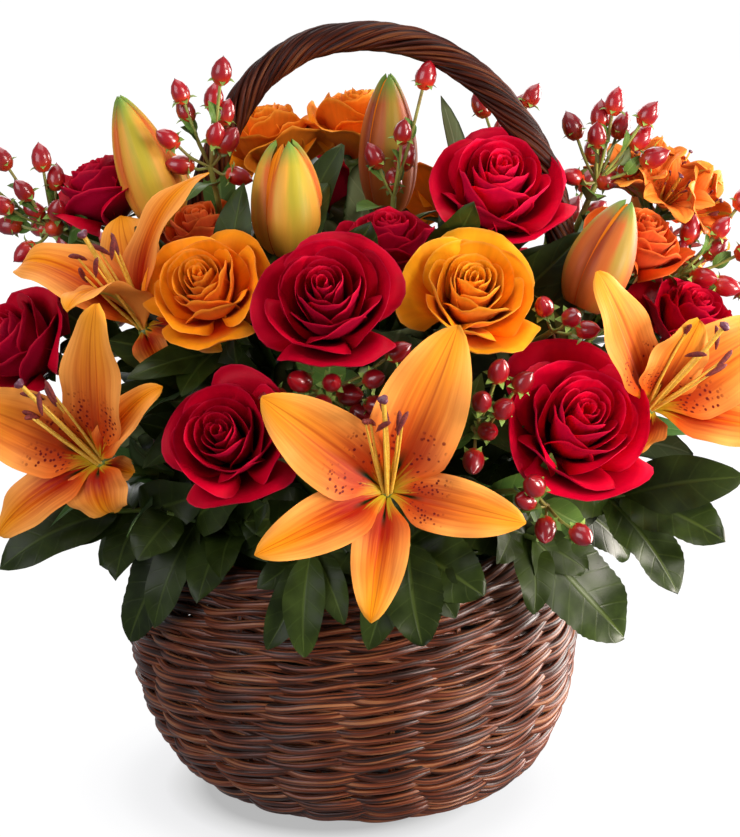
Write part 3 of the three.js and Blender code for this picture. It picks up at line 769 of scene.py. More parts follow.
# Lily and alstroemeria petals and lily buds: wax over satin.
LILY = LilyPetal("orange_lily_tepal")
STREAKED = LilyPetal(
    "alstroemeria_petal",
    *(0xC89828, 0xC23A10, 0xDE5C18, 0xEE8428, 0xD86A28, 0xEC8C3C),
    *(0xF09A3C, 0x4A1A10, 0x4A1010, 0xC8682A),
)
BUD = BudSkin("green_lily_bud_skin")
FLUSHED_BUD = BudSkin("flushed_lily_bud_skin", 0xA08230, 0xB05A26, 0x8E3A1A, 0x5F8A3A, 0xA85420)
# Leaves: waxy dark ones at the rim, softer and paler ones on the flowers' own stems.
ROSE_LEAF = LeafSkin("rose_leaf")
RIM_LEAF = LeafSkin("glossy_rim_leaf", 0x2E3C12, 0x1C2609, 0x4E5E26, 0x7A885C, 0.4, 6.0)
LILY_LEAF = LeafSkin("lily_leaf", 0x3E5E26, 0x2A4A1C, 0x5A7C38, 0x7F9A68, 0.4, 0.0)
HYPERICUM_LEAF = LeafSkin("hypericum_leaf", 0x5E7C34, 0x44642A, 0x93A85C, 0x9DB07E, 0.45, 5.0)
SEPAL = LeafSkin("berry_sepal", 0x8FA850, 0x6F8E3C, 0xB4C47C, 0xA9BC74, 0.5, 0.0)
BERRY = BerrySkin("hypericum_berry")
# Stalks are smooth and lightly ribbed; anthers and stigmas carry a dust of pollen, 0.5 mm.
STALK_GRAIN = (70.0, 3.0, 0.15, 0.15, 0.0005)
POLLEN_GRAIN = (1200.0, 2.0, 0.1, 0.3, 0.0003)
STEM = GrainSkin("green_stem", 0x4F6B2C, 0x6E7F38, 0.45, *STALK_GRAIN)
TWIG = GrainSkin("berry_twig", 0x7A6A2E, 0x94A04C, 0.45, *STALK_GRAIN)
ANTHER = GrainSkin("dusty_anther", 0x5A1018, 0x7A2418, 0.7, *POLLEN_GRAIN)
FILAMENT = GrainSkin("smooth_filament", 0xD8A02C, 0xE0B848, 0.45, *POLLEN_GRAIN)
STIGMA = GrainSkin("sticky_stigma", 0x5A2A40, 0x6E3848, 0.4, *POLLEN_GRAIN)
# The liner is dark green moulded plastic with the faint grain of its mould.
LINER = GrainSkin("moulded_polypropylene", 0x131A14, 0x1E2A20, 0.45, 500.0, 2.0, 0.2, 0.1, 0.0004)
FOAM = FoamSkin("wet_floral_foam")
PAPER = FloorPaper("white_studio_paper")


# ---------------------------------------------------------------- leaves
@dataclass(frozen=True)
class LeafShape:
    """A leaf's outline and how it is folded and waved."""

    roundness: float = 0.8  # under 1 puts the widest part nearer the base
    fullness: float = 0.65  # under 1 makes a broad blade with a short point
    fold: float = 0.22  # how far the blade rises from its midrib, as a share of its half width
    arch: float = 0.12  # how far its middle rises over the line from base to tip
    wave: float = 0.05  # the rim's waves, as a share of the leaf's width
    teeth: int = 0
    thickness: float = 0.5
    rows: int = 15
    columns: int = 9

    def patch(self, base: Array, tip: Array, width: float, up: Array, random: float, slot: int) -> Patch:
        """The leaf as a thin closed sheet, face up.

        The midrib is a parabola over the line from base to tip. Half width follows a sine of v,
        pointed at both ends. The blade is folded up along the midrib and waved along its rim.

        Args:
            base: Where the leaf leaves its stalk.
            tip: Its tip.
            width: Its greatest width.
            up: The way its face looks.
            random: A random share that shifts its waves.
            slot: Its material slot.

        Returns:
            The patch.
        """
        u, v = grid(self.rows, self.columns)
        way = tip - base
        length = float(np.linalg.norm(way))
        across = unit(np.cross(way, up))
        normal = unit(np.cross(across, way))
        half = width / 2 * np.sin(math.pi * np.clip(v, 0.002, 0.998) ** self.roundness) ** self.fullness
        if self.teeth:
            half = half * (1 - 0.07 * ((v * self.teeth) % 1.0) * np.abs(u) ** 6)
        rise = self.arch * length * 4 * v * (1 - v)
        rise = rise + self.fold * np.abs(u) * half
        rise = rise + self.wave * width * u**2 * np.sin(TURN * (2.2 * v + random) + 1.3 * np.sign(u))
        sway = 0.04 * length * np.sin(math.pi * v) * math.sin(9 * random)
        points = base + way * v[..., None] + across * (u * half + sway)[..., None] + normal * rise[..., None]
        return sheet(points, self.thickness, random, slot=slot)


ROSE_BLADE = LeafShape(roundness=0.82, fold=0.16, arch=0.1, wave=0.06, teeth=13)
RIM_BLADE = LeafShape(roundness=0.86, fullness=0.58, fold=0.18, rows=17)
TOOTHED_BLADE = LeafShape(roundness=0.84, fullness=0.58, fold=0.16, arch=0.1, teeth=16, rows=33)
LANCE_BLADE = LeafShape(roundness=0.7, fullness=0.9, fold=0.3, arch=0.16, wave=0.03, rows=13, columns=7)
SMALL_BLADE = LeafShape(fold=0.25, wave=0.03, rows=9, columns=5)
SEPAL_BLADE = LeafShape(roundness=0.7, fold=0.3, arch=0.25, wave=0.0, thickness=0.4, rows=5, columns=5)


# ---------------------------------------------------------------- stems
FOOT_SHARE = 0.8  # a stem's foot lies this share of the way out to where it enters the foam
ENTRY_HEIGHT = 138.0
FOOT_REGION = 55.0  # every foot lies this near the axis, and a leaf that hangs lower lies further out
CUT_END = 2.0  # the cut end's own vertices lie within this of the lowest one


def node_foot(name: str) -> Array:
    """The middle of a CAD stem's cut end, which stands in the foam, in millimetres."""
    vertices = FRAME["nodes"][name].data.vertices
    points = np.empty(len(vertices) * 3)
    vertices.foreach_get("co", points)
    points = points.reshape(-1, 3) / MM
    central = points[np.hypot(points[:, 0], points[:, 1]) < FOOT_REGION]
    low = central[central[:, 2] < central[:, 2].min() + CUT_END]
    return (low.min(axis=0) + low.max(axis=0)) / 2


def foot_and_entry(name: str) -> list[Array]:
    """A stem's foot, and where it enters the foam."""
    foot = node_foot(name)
    return [foot, np.array((foot[0] / FOOT_SHARE, foot[1] / FOOT_SHARE, ENTRY_HEIGHT))]


@dataclass(frozen=True)
class Bloom:
    """Where a cut stem's head sits, which way it faces, and the sideways bend of its stem."""

    name: str
    at: Point
    face: Point
    bend: Pair = (0.0, 0.0)


@dataclass
class CutStem:
    """A stem from its foot in the foam, read from the CAD node, to the base of its head."""

    bloom: Bloom
    drop: float
    radius: float

    def path(self, count: int) -> Array:
        """The stem's middle line: foot, entry, bend and top, joined by a smooth curve."""
        foot, entry = foot_and_entry(self.bloom.name)
        face = unit(np.asarray(self.bloom.face, float))
        top = np.asarray(self.bloom.at, float) - face * self.drop
        bend = top - face * 0.35 * np.linalg.norm(top - entry)
        bend[2] = max(bend[2], ENTRY_HEIGHT + 4)
        bend[:2] += self.bloom.bend
        return smooth_path([foot, entry, bend, top], count)

    def grow(
        self,
        spans: Sequence[float],
        length: float,
        width: float,
        shape: LeafShape,
        seed: int,
        clear: float = -4.0,
    ) -> list[Patch]:
        """The stem, and leaves set round it by the golden angle that rise and then arch away.

        Args:
            spans: Where the leaves leave it, as shares of its length.
            length: A leaf's length.
            width: A leaf's width.
            shape: The leaf's shape.
            seed: Seeds the small differences between leaves.
            clear: How far past the stem's top, along it, a leaf's tip may come.

        Returns:
            The stem in slot 2, and each leaf in slot 1.
        """
        taper = np.linspace(self.radius, 0.82 * self.radius, 22)
        made = [tube(self.path(22), taper, 8, ASKEW, slot=2)]
        path = self.path(40)
        dice = np.random.default_rng(seed)
        ways = unit(np.gradient(path, axis=0))
        for number, span in enumerate(spans):
            index = int(span * (len(path) - 1))
            base, way = path[index], ways[index]
            side = unit(np.cross(way, (0.3, 0.2, 0.93)))
            turn = number * GOLDEN_ANGLE + seed
            out = side * math.cos(turn) + np.cross(side, way) * math.sin(turn)
            out = unit(out + 0.7 * unit(np.array((base[0], base[1], 30.0))))
            size = float(dice.uniform(0.85, 1.15))
            tip = base + (out * 0.85 + way * 0.45) * length * size
            tip = tip - ways[-1] * max(0.0, float((tip - path[-1]) @ ways[-1]) - clear)
            up = unit(way - 0.4 * out)
            made.append(shape.patch(base, tip, width * size, up, float(dice.random()), 1))
        return made


# ---------------------------------------------------------------- roses
class Kind(Enum):
    """The kinds of rose, by the finish of their petals."""

    RED = CRIMSON
    BRIGHT = SCARLET
    ORANGE = ORANGE
    AMBER = AMBER
    CORAL = CORAL

    @property
    def red(self) -> bool:
        """Whether the part counts it among its red roses."""
        return self in (Kind.RED, Kind.BRIGHT)


@dataclass
class Rose:
    """A rose in bloom: petals in a golden-angle spiral from a furled heart to rolled-back guards."""

    bloom: Bloom
    radius: float
    kind: Kind
    seed: int
    petals: int = 25
    ruffle: float = 0.04
    lift: float = 0.42  # how much more the bloom looks up than its stem does
    rows: int = 17
    columns: int = 21

    def petal(self, number: int, dice: np.random.Generator) -> Patch:
        """One petal on a cup whose radius grows, and whose rim sinks and rolls back, from the heart out.

        Radius follows a sine of the share along the petal in the heart and a flaring power of
        it outside. The rim's height falls towards the petal's sides along a rounded shoulder.

        Args:
            number: Its place in the spiral, 0 at the heart.
            dice: The source of its small differences.

        Returns:
            The petal about the flower's own axis.
        """
        r = self.radius
        t = number / (self.petals - 1)
        u, v = grid(self.rows, self.columns)
        u = np.sin(0.5 * math.pi * u)  # closer columns towards the petal's round sides
        turn = number * GOLDEN_ANGLE + float(dice.uniform(-0.2, 0.2))
        guard = smoothstep(0.72, 1.0, t)  # the last petals are broad guards that hang open
        rim = r * (0.05 + 0.62 * t + 0.26 * t**3 + 0.1 * guard) * float(dice.uniform(0.95, 1.05))
        top = r * (0.58 - 0.04 * t - 0.3 * t**3 - 0.12 * guard) + r * float(dice.uniform(-0.03, 0.02))
        half_angle = 2.0 - 0.9 * t**0.5 + float(dice.uniform(-0.08, 0.08))
        shoulder = np.sqrt(1.0 - (0.7 + 0.26 * t) * np.abs(u) ** (5.4 - 2.4 * t))
        point = 0.06 * t * np.exp(-((u / 0.14) ** 2))
        along = v * (shoulder + point)
        spread = 0.5 + 0.5 * np.sin(0.5 * math.pi * np.minimum(1.0, 1.5 * v))
        foot = 0.08 * r
        rising = np.sin(0.5 * math.pi * np.minimum(1.0, along * 1.1))
        cup = foot + (rim - foot) * rising ** (0.7 + 0.35 * t**3)
        furl = 1.0 + (0.16 - 0.09 * t) * u
        roll = smoothstep(0.7, 1.0, v) * (0.25 + 0.75 * t) * (0.6 + 0.4 * np.abs(u) ** 1.4)
        curl = 0.15 * r * (0.4 + 0.75 * t)
        phase = 7.0 * float(dice.random())
        ruffle = self.ruffle * (1.0 if self.kind.red else 1.7)
        wave = ruffle * r * (0.15 + t) * np.sin(4.5 * u + phase) * v**3
        wave = wave + 0.5 * ruffle * r * t * np.sin(11.0 * u + 2 * phase) * v**6
        height = -0.7 * r + (top + 0.7 * r) * along ** (1.15 - 0.3 * t) - curl * roll**2 * 1.2 + wave
        points = polar(cup * furl + curl * roll - 0.5 * wave, turn + u * half_angle * spread, height)
        points = points + 0.03 * r * dice.standard_normal(3) * v[..., None] * (0.3 + t)
        return sheet(points[:, ::-1], 0.5, float(dice.random()), t)

    def calyx(self) -> list[Patch]:
        """The hip under the petals and its five sepals, arched out and down."""
        r = self.radius
        profile = [[0, -0.86], [0.1, -0.85], [0.17, -0.78], [0.2, -0.7], [0.12, -0.62], [0, -0.6]]
        made = [turned(np.array(profile) * r, 12, 2)]
        for number in range(5):
            out = spoke(TURN * number / 5 + self.seed)
            base = out * 0.14 * r + np.array((0, 0, -0.72 * r))
            tip = out * 0.62 * r + np.array((0, 0, -0.62 * r))
            made.append(SMALL_BLADE.patch(base, tip, 0.24 * r, UP, 0.2 * number, 1))
        return made

    def build(self) -> None:
        """The whole cut rose: petals, calyx, stem and its leaves."""
        name, slot_name = self.bloom.name, "red_petal" if self.kind.red else "orange_petal"
        piece = Piece(name + "_bloom", name, slot_name, [self.kind.value, ROSE_LEAF, STEM])
        turn = basis(unit(np.asarray(self.bloom.face, float)) + (0.0, 0.0, self.lift))
        dice = np.random.default_rng(self.seed)
        petals = [self.petal(number, dice) for number in range(self.petals)]
        piece.add(*(patch.put(turn, self.bloom.at) for patch in [*petals, *self.calyx()]))
        stem = CutStem(self.bloom, 0.74 * self.radius, 2.6)
        spans = (0.45, 0.55, 0.64, 0.73, 0.82)
        piece.add(*stem.grow(spans, 44.0, 27.0, ROSE_BLADE, self.seed, 0.35 * self.radius))
        piece.build()


# ---------------------------------------------------------------- lilies
@dataclass(frozen=True)
class Tepal:
    """A lily's petal: its angle round the face, its length and width, and its tilt from the axis."""

    angle: float
    length: float
    width: float
    tilt_base: float
    tilt_tip: float
    curl: float = 18.0  # degrees that the last third turns back further
    spotted: bool = True

    def surface(self, start: float, random: float, rows: int = 24, columns: int = 15) -> Array:
        """The petal's middle surface.

        Its middle line leaves the throat at one tilt and ends at another. Half width is a
        skewed sine of v. The blade is a shallow trough with a groove down the midrib, and its
        rim is waved.

        Args:
            start: How far from the axis it starts.
            random: A random share that shifts its waves.
            rows: Rows of points.
            columns: Columns of points.

        Returns:
            Points of shape (rows, columns, 3), about the flower's own axis.
        """
        u, v = grid(rows, columns)
        line = np.linspace(0.0, 1.0, rows)
        tilt = self.tilt_base + (self.tilt_tip - self.tilt_base) * line**0.9
        tilt = np.radians(tilt + self.curl * smoothstep(0.6, 1.0, line))
        step = self.length / (rows - 1)
        reach = start + np.concatenate([[0.0], np.cumsum(np.sin(tilt[:-1]) * step)])
        height = np.concatenate([[0.0], np.cumsum(np.cos(tilt[:-1]) * step)])
        out = spoke(math.radians(self.angle))
        across = np.array((-out[1], out[0], 0.0))
        # The normal looks to the inside of the flower, towards its axis.
        normal = UP * np.sin(tilt)[:, None] - out * np.cos(tilt)[:, None]
        shape = np.sin(math.pi * np.clip(0.07 + 0.93 * v, 0, 0.998) ** 0.9) ** 0.62
        half = self.width / 2 * shape * (0.3 + 0.7 * smoothstep(0.0, 0.26, v))
        trough = 0.32 * half * np.abs(u) ** 1.7 * (1.15 - 1.2 * v)
        groove = 0.9 * np.exp(-((u / 0.1) ** 2)) * smoothstep(1.0, 0.7, v)
        frill = 0.055 * self.width * u**2 * np.sin(TURN * (2.6 * v + random) + 2.0 * np.sign(u))
        lift = trough - groove + frill * smoothstep(0.1, 0.4, v)
        middle = out * reach[:, None, None] + UP * height[:, None, None]
        return middle + across * (u * half)[..., None] + normal[:, None] * lift[..., None]


def open_tepals(length: float, width: float, seed: int) -> list[Tepal]:
    """Six petals of an open lily: three narrow outer ones and three broad inner ones."""
    dice = np.random.default_rng(seed)
    longs, wides = (1.0, 1.06, 1.0, 0.97, 0.94, 1.0), (0.8, 1.0, 0.8, 1.0, 0.8, 1.0)
    made = []
    for angle, long, wide, tip in zip(range(30, 360, 60), longs, wides, (100, 95, 100, 105, 110, 105)):
        made.append(Tepal(angle, length * long * float(dice.uniform(0.96, 1.04)), width * wide, 50, tip))
    return made


@dataclass
class Lily:
    """An open lily: petals, six stamens with swinging anthers, and a three-lobed pistil."""

    bloom: Bloom
    tepals: Sequence[Tepal]
    seed: int
    lean: Point = (0.0, 0.0, 1.0)  # which way the stamens gather, in the flower's own axes
    scale: float = 1.0
    fan: float = 0.3  # how far the stamens spread

    def build(self) -> None:
        """The whole cut lily."""
        name = self.bloom.name
        piece = Piece(name + "_bloom", name, "lily_petal", [LILY, LILY_LEAF, STEM, FILAMENT, ANTHER, STIGMA])
        turn = basis(self.bloom.face)
        piece.add(*(patch.put(turn, self.bloom.at) for patch in self.flower()))
        spans = (0.35, 0.45, 0.54, 0.62, 0.7)
        piece.add(*CutStem(self.bloom, 12.0, 2.8).grow(spans, 52.0, 13.0, LANCE_BLADE, self.seed))
        piece.build()

    def flower(self) -> list[Patch]:
        """The flower about its own axis."""
        dice = np.random.default_rng(self.seed)
        made = []
        for number, tepal in enumerate(self.tepals):
            random = float(dice.random())
            points = tepal.surface(1.5 + 0.8 * (number % 2), random)
            made.append(sheet(points[:, ::-1], 0.9, random, float(tepal.spotted)))
        throat = np.array([[0, -14], [2.4, -13.5], [3.2, -8], [3.4, -1], [2.4, 0.6], [0, 1.0]])
        return [*made, turned(throat * self.scale, 12, 2), *self.stamens(dice)]

    def stamens(self, dice: np.random.Generator) -> list[Patch]:
        """Filaments that fan out round the lean, each with an anther across its end, and the pistil."""
        made = []
        scale = self.scale
        lean = unit(np.asarray(self.lean, float))
        for number in range(6):
            out = spoke(TURN * (number + 0.5) / 6)
            end = unit(lean + self.fan * out) * 40.0 * scale * float(dice.uniform(0.9, 1.05))
            path = smooth_path([out * 1.6, end * 0.5 + out * 1.2, end], 10)
            made.append(tube(path, np.linspace(0.85, 0.45, 10) * scale, 6, STAMEN_ASKEW, slot=3))
            across = unit(np.cross(end, out + 0.3 * dice.standard_normal(3)))
            across = unit(across * float(dice.uniform(0.3, 1.0)) + unit(end))
            pod = np.linspace(-1, 1, 7)[:, None]
            bar = end + across * pod * 5.2 * scale + unit(end) * (0.8 - pod**2)
            girth = 1.15 * scale * np.sqrt(1.06 - pod[:, 0] ** 2)
            made.append(tube(bar, girth, 8, np.cross(across, ASKEW), slot=4))
        tip = lean * 50.0 * scale
        style = smooth_path([(0, 0, 0), tip * 0.5 + np.array((0.6, -0.6, 0)), tip], 12)
        made.append(tube(style, np.linspace(1.4, 1.0, 12) * scale, 8, STAMEN_ASKEW, slot=3))
        profile = np.array([[0, -1.5], [1.6, -1.0], [2.3, 0.6], [1.5, 1.6], [0, 1.3]])
        knob = turned(profile * scale, 15, 5, lambda a: 1 + 0.22 * np.cos(3 * a))
        return [*made, knob.put(basis(lean), tip)]


@dataclass
class LilyBud:
    """A closed or barely open lily bud: three lobes with grooves between, drawn to a point."""

    bloom: Bloom
    length: float
    radius: float
    seed: int
    split: float = 0.0  # how far the lobes' tips have parted
    turn: float = 0.0  # where the first lobe stands round the bud
    finish: Finish = BUD

    def build(self) -> None:
        """The whole cut bud with its stem."""
        name = self.bloom.name
        piece = Piece(name + "_bud", name, "lily_bud", [self.finish, LILY_LEAF, STEM, LILY])
        turn = basis(self.bloom.face)
        piece.add(*(patch.put(turn, self.bloom.at) for patch in self.lobes()))
        stem = CutStem(self.bloom, -2.0, 2.2)
        piece.add(*stem.grow((0.45, 0.6, 0.72, 0.84), 46.0, 11.0, LANCE_BLADE, self.seed))
        piece.build()

    def lobes(self) -> list[Patch]:
        """Three outer petals wrapped over three inner ones.

        Radius follows a rounded spindle of height. Each lobe swells in its middle and dips at
        its edges, so a groove lies between two lobes, where the inner petals show.
        """
        made = []
        u, v = grid(26, 15)
        spindle = np.sin(math.pi * np.clip(0.1 + 0.9 * v, 0, 0.995) ** 0.82) ** 0.7
        swell = 1.0 + 0.07 * np.cos(u * math.pi / 2) - 0.1 * np.exp(-(((np.abs(u) - 1) / 0.14) ** 2))
        rib = 0.03 * np.exp(-((u / 0.12) ** 2))
        for number in range(6):
            inner = number % 2
            turn = math.pi * number / 3 + self.turn
            angle = turn + u * (math.pi / 3 + 0.06)
            radius = self.radius * spindle * (swell + rib) * (1.0 - 0.16 * inner)
            part = self.split * smoothstep(0.35, 1.0, v) * (1.0 - 0.6 * inner)
            height = self.length * (v - 0.04 * (1 - np.cos(u * math.pi / 2)) * v)
            height = height * (1 - 0.02 * self.split - 0.03 * inner)
            points = polar(radius, angle, height) + part[..., None] * spoke(turn)
            patch = sheet(points, 0.8, 0.15 * number, 0.0, 3 * inner)
            if inner:
                patch.uvs[..., 1] = 0.35 + 0.4 * patch.uvs[..., 1]
            else:
                patch.uvs[..., 0] = (patch.uvs[..., 0] + number / 2) / 3
            made.append(patch)
        return made


@dataclass
class AlstroemeriaCluster:
    """Small trumpet flowers that open from one point: a ring of seven, and one in the middle."""

    bloom: Bloom
    radius: float = 19.0
    ring: int = 7

    def build(self) -> None:
        """The cluster on its stem."""
        finishes = [STREAKED, LILY_LEAF, STEM, FILAMENT, ANTHER, STIGMA]
        piece = Piece("alstroemeria_cluster", self.bloom.name, "orange_petal", finishes)
        turn = basis(self.bloom.face)
        tepals = [Tepal(60 * k, 27 + 2 * (k % 2), 14 + 3 * (k % 2), 18, 68) for k in range(6)]
        for number in range(self.ring + 1):
            angle = TURN * number / self.ring
            wide = 1.1 if number < self.ring else 0.0
            way = np.array((wide * math.cos(angle), wide * math.sin(angle), 0.9))
            flower = Lily(self.bloom, tepals, 50 + number, scale=0.46)
            for patch in flower.flower():
                patch.put(basis(way), (0.0, 0.0, -self.radius + 4))
                patch.points = patch.points + 13 * unit(way)
                piece.add(patch.put(turn, self.bloom.at))
        stem = CutStem(self.bloom, self.radius - 2.0, 2.0)
        piece.add(*stem.grow((0.6, 0.75, 0.9), 40.0, 11.0, LANCE_BLADE, 61))
        piece.build()


# ---------------------------------------------------------------- berries and leafy stems
@dataclass
class BerrySpray:
    """Hypericum: berries on forked twigs, each in five sepals, over a pair or two of leaves."""

    bloom: Bloom
    berries: Sequence[Pair]
    seed: int

    def build(self) -> None:
        """The whole spray."""
        dice = np.random.default_rng(self.seed)
        name = self.bloom.name
        piece = Piece(name + "_spray", name, "berry", [BERRY, HYPERICUM_LEAF, TWIG, SEPAL])
        at = np.asarray(self.bloom.at, float)
        hub = at - unit(np.asarray(self.bloom.face, float)) * 16.0
        for number, (right, up) in enumerate(self.berries):
            place = at + np.array((right, 6.0 * math.sin(2.4 * number), up))
            piece.add(*self.berry(hub, place, dice))
        spans = (0.6, 0.74, 0.86, 0.95) if len(self.berries) > 3 else (0.45, 0.6)
        piece.add(*CutStem(self.bloom, 15.5, 1.6).grow(spans, 30.0, 14.0, SMALL_BLADE, self.seed))
        piece.build()

    def berry(self, hub: Array, place: Array, dice: np.random.Generator) -> list[Patch]:
        """A berry at the end of its twig in its sepals, and on some twigs a small leaf.

        Args:
            hub: Where the spray's twigs fork.
            place: The middle of the berry.
            dice: The source of its small differences.

        Returns:
            The patches, in the part's own frame.
        """
        way = unit(place - hub)
        random = float(dice.random())
        turn = basis(way)
        lower = [[0, -5.6], [2.1, -5.3], [3.8, -3.4], [4.5, -0.8]]
        upper = [[4.3, 2.1], [3.1, 4.9], [1.5, 6.6], [0.5, 7.4], [0, 8.2]]
        profile = np.array(lower + upper) * float(dice.uniform(0.9, 1.08))
        mid = hub + (place - hub) * 0.5 + np.array((0, 0, -1.5))
        twig = tube(smooth_path([hub, mid, place - way * 4.8], 7), 0.75, 6, ASKEW, slot=2)
        made = [turned(profile, 12, random=random).put(turn, place), twig]
        for number in range(5):
            out = spoke(TURN * number / 5 + 6 * random)
            base = out * 0.8 + np.array((0, 0, -5.0))
            tip = out * 6.4 + np.array((0, 0, -2.6 - 1.6 * random))
            made.append(SEPAL_BLADE.patch(base, tip, 3.6, UP, 0.5, 3).put(turn, place))
        leaf_kind = int(random * 5) % 3  # none, or one to either side
        if leaf_kind:
            out = unit(np.cross(way, (math.cos(9 * random), math.sin(9 * random), 0.4)))
            tip = mid + (0.75 * way + 0.7 * out * (1.5 - leaf_kind)) * 13.0
            up = unit(way + 0.4 * np.array((0.0, -1.0, 1.0)))
            made.append(SMALL_BLADE.patch(mid, tip, 6.5, up, random, 1))
        return made


@dataclass
class LeafStem:
    """A leafy stem: its stalk from the foam, and its leaves as (share, tip, width)."""

    name: str
    stalk: Sequence[Point]
    extra: int
    leaves: Sequence[tuple[float, Point, float]]
    seed: int
    broad: float = 21.0  # leaves wider than this are toothed rose leaves

    def build(self) -> None:
        """The whole stem with its leaves."""
        dice = np.random.default_rng(self.seed)
        piece = Piece(self.name + "_foliage", self.name, "leaf", [RIM_LEAF, STEM, ROSE_LEAF])
        foot, entry = foot_and_entry(self.name)
        path = smooth_path([foot, entry, *self.stalk], 40)
        piece.add(tube(path, np.linspace(1.7, 1.1, len(path)), 8, ASKEW, slot=1))
        outside = smooth_path([entry, *self.stalk], 60)
        for share, tip_point, width in self.leaves:
            base = outside[int(0.95 * share * (len(outside) - 1))]
            tip = np.asarray(tip_point, float)
            # The face looks out over the rim, more to the front or back than to the side.
            outward = math.copysign(70.0, tip[1] + 12.0 * (tip[1] > 0))
            up = unit(np.array((0.6 * (base[0] + tip[0]), base[1] + tip[1] + outward, 80.0)))
            piece.add(self.leaf(width > self.broad, base, tip, 1.2 * width, up, dice))
        piece.add(*self.collar(outside, dice))
        piece.build()

    @staticmethod
    def leaf(
        toothed: bool, base: Array, tip: Array, width: float, up: Array, dice: np.random.Generator
    ) -> Patch:
        """One leaf, toothed and dull in slot 2, or smooth and glossy in slot 0."""
        shape, slot = (TOOTHED_BLADE, 2) if toothed else (RIM_BLADE, 0)
        return shape.patch(base, tip, width, up, float(dice.random()), slot)

    def collar(self, stalk: Array, dice: np.random.Generator) -> list[Patch]:
        """Leaves between the rim and the flowers, spread either side of the stalk's own direction.

        Args:
            stalk: The stalk's middle line outside the foam.
            dice: The source of the differences between leaves.

        Returns:
            One patch for each leaf.
        """
        middle = math.atan2(stalk[-1, 1], stalk[-1, 0])
        made = []
        for number in range(self.extra):
            base = stalk[int((0.35 + 0.6 * number / self.extra) * (len(stalk) - 1))]
            turn = middle + 0.55 * math.sin(2.4 * number + 1.0) + float(dice.uniform(-0.1, 0.1))
            tip = spoke(turn) * float(dice.uniform(88.0, 103.0))
            tip = tip + np.array((-8.0, 0.0, 126.0 + 46.0 * ((number * 0.618) % 1.0)))
            tip = base + (tip - base) * min(1.0, 43.0 / float(np.linalg.norm(tip - base)))
            up = unit(np.array((0.7 * tip[0], 1.3 * tip[1], 60.0 + 30.0 * dice.standard_normal())))
            width = float(dice.uniform(21.0, 29.0))
            made.append(self.leaf(number % 3 == 0, base, tip, width, up, dice))
        return made


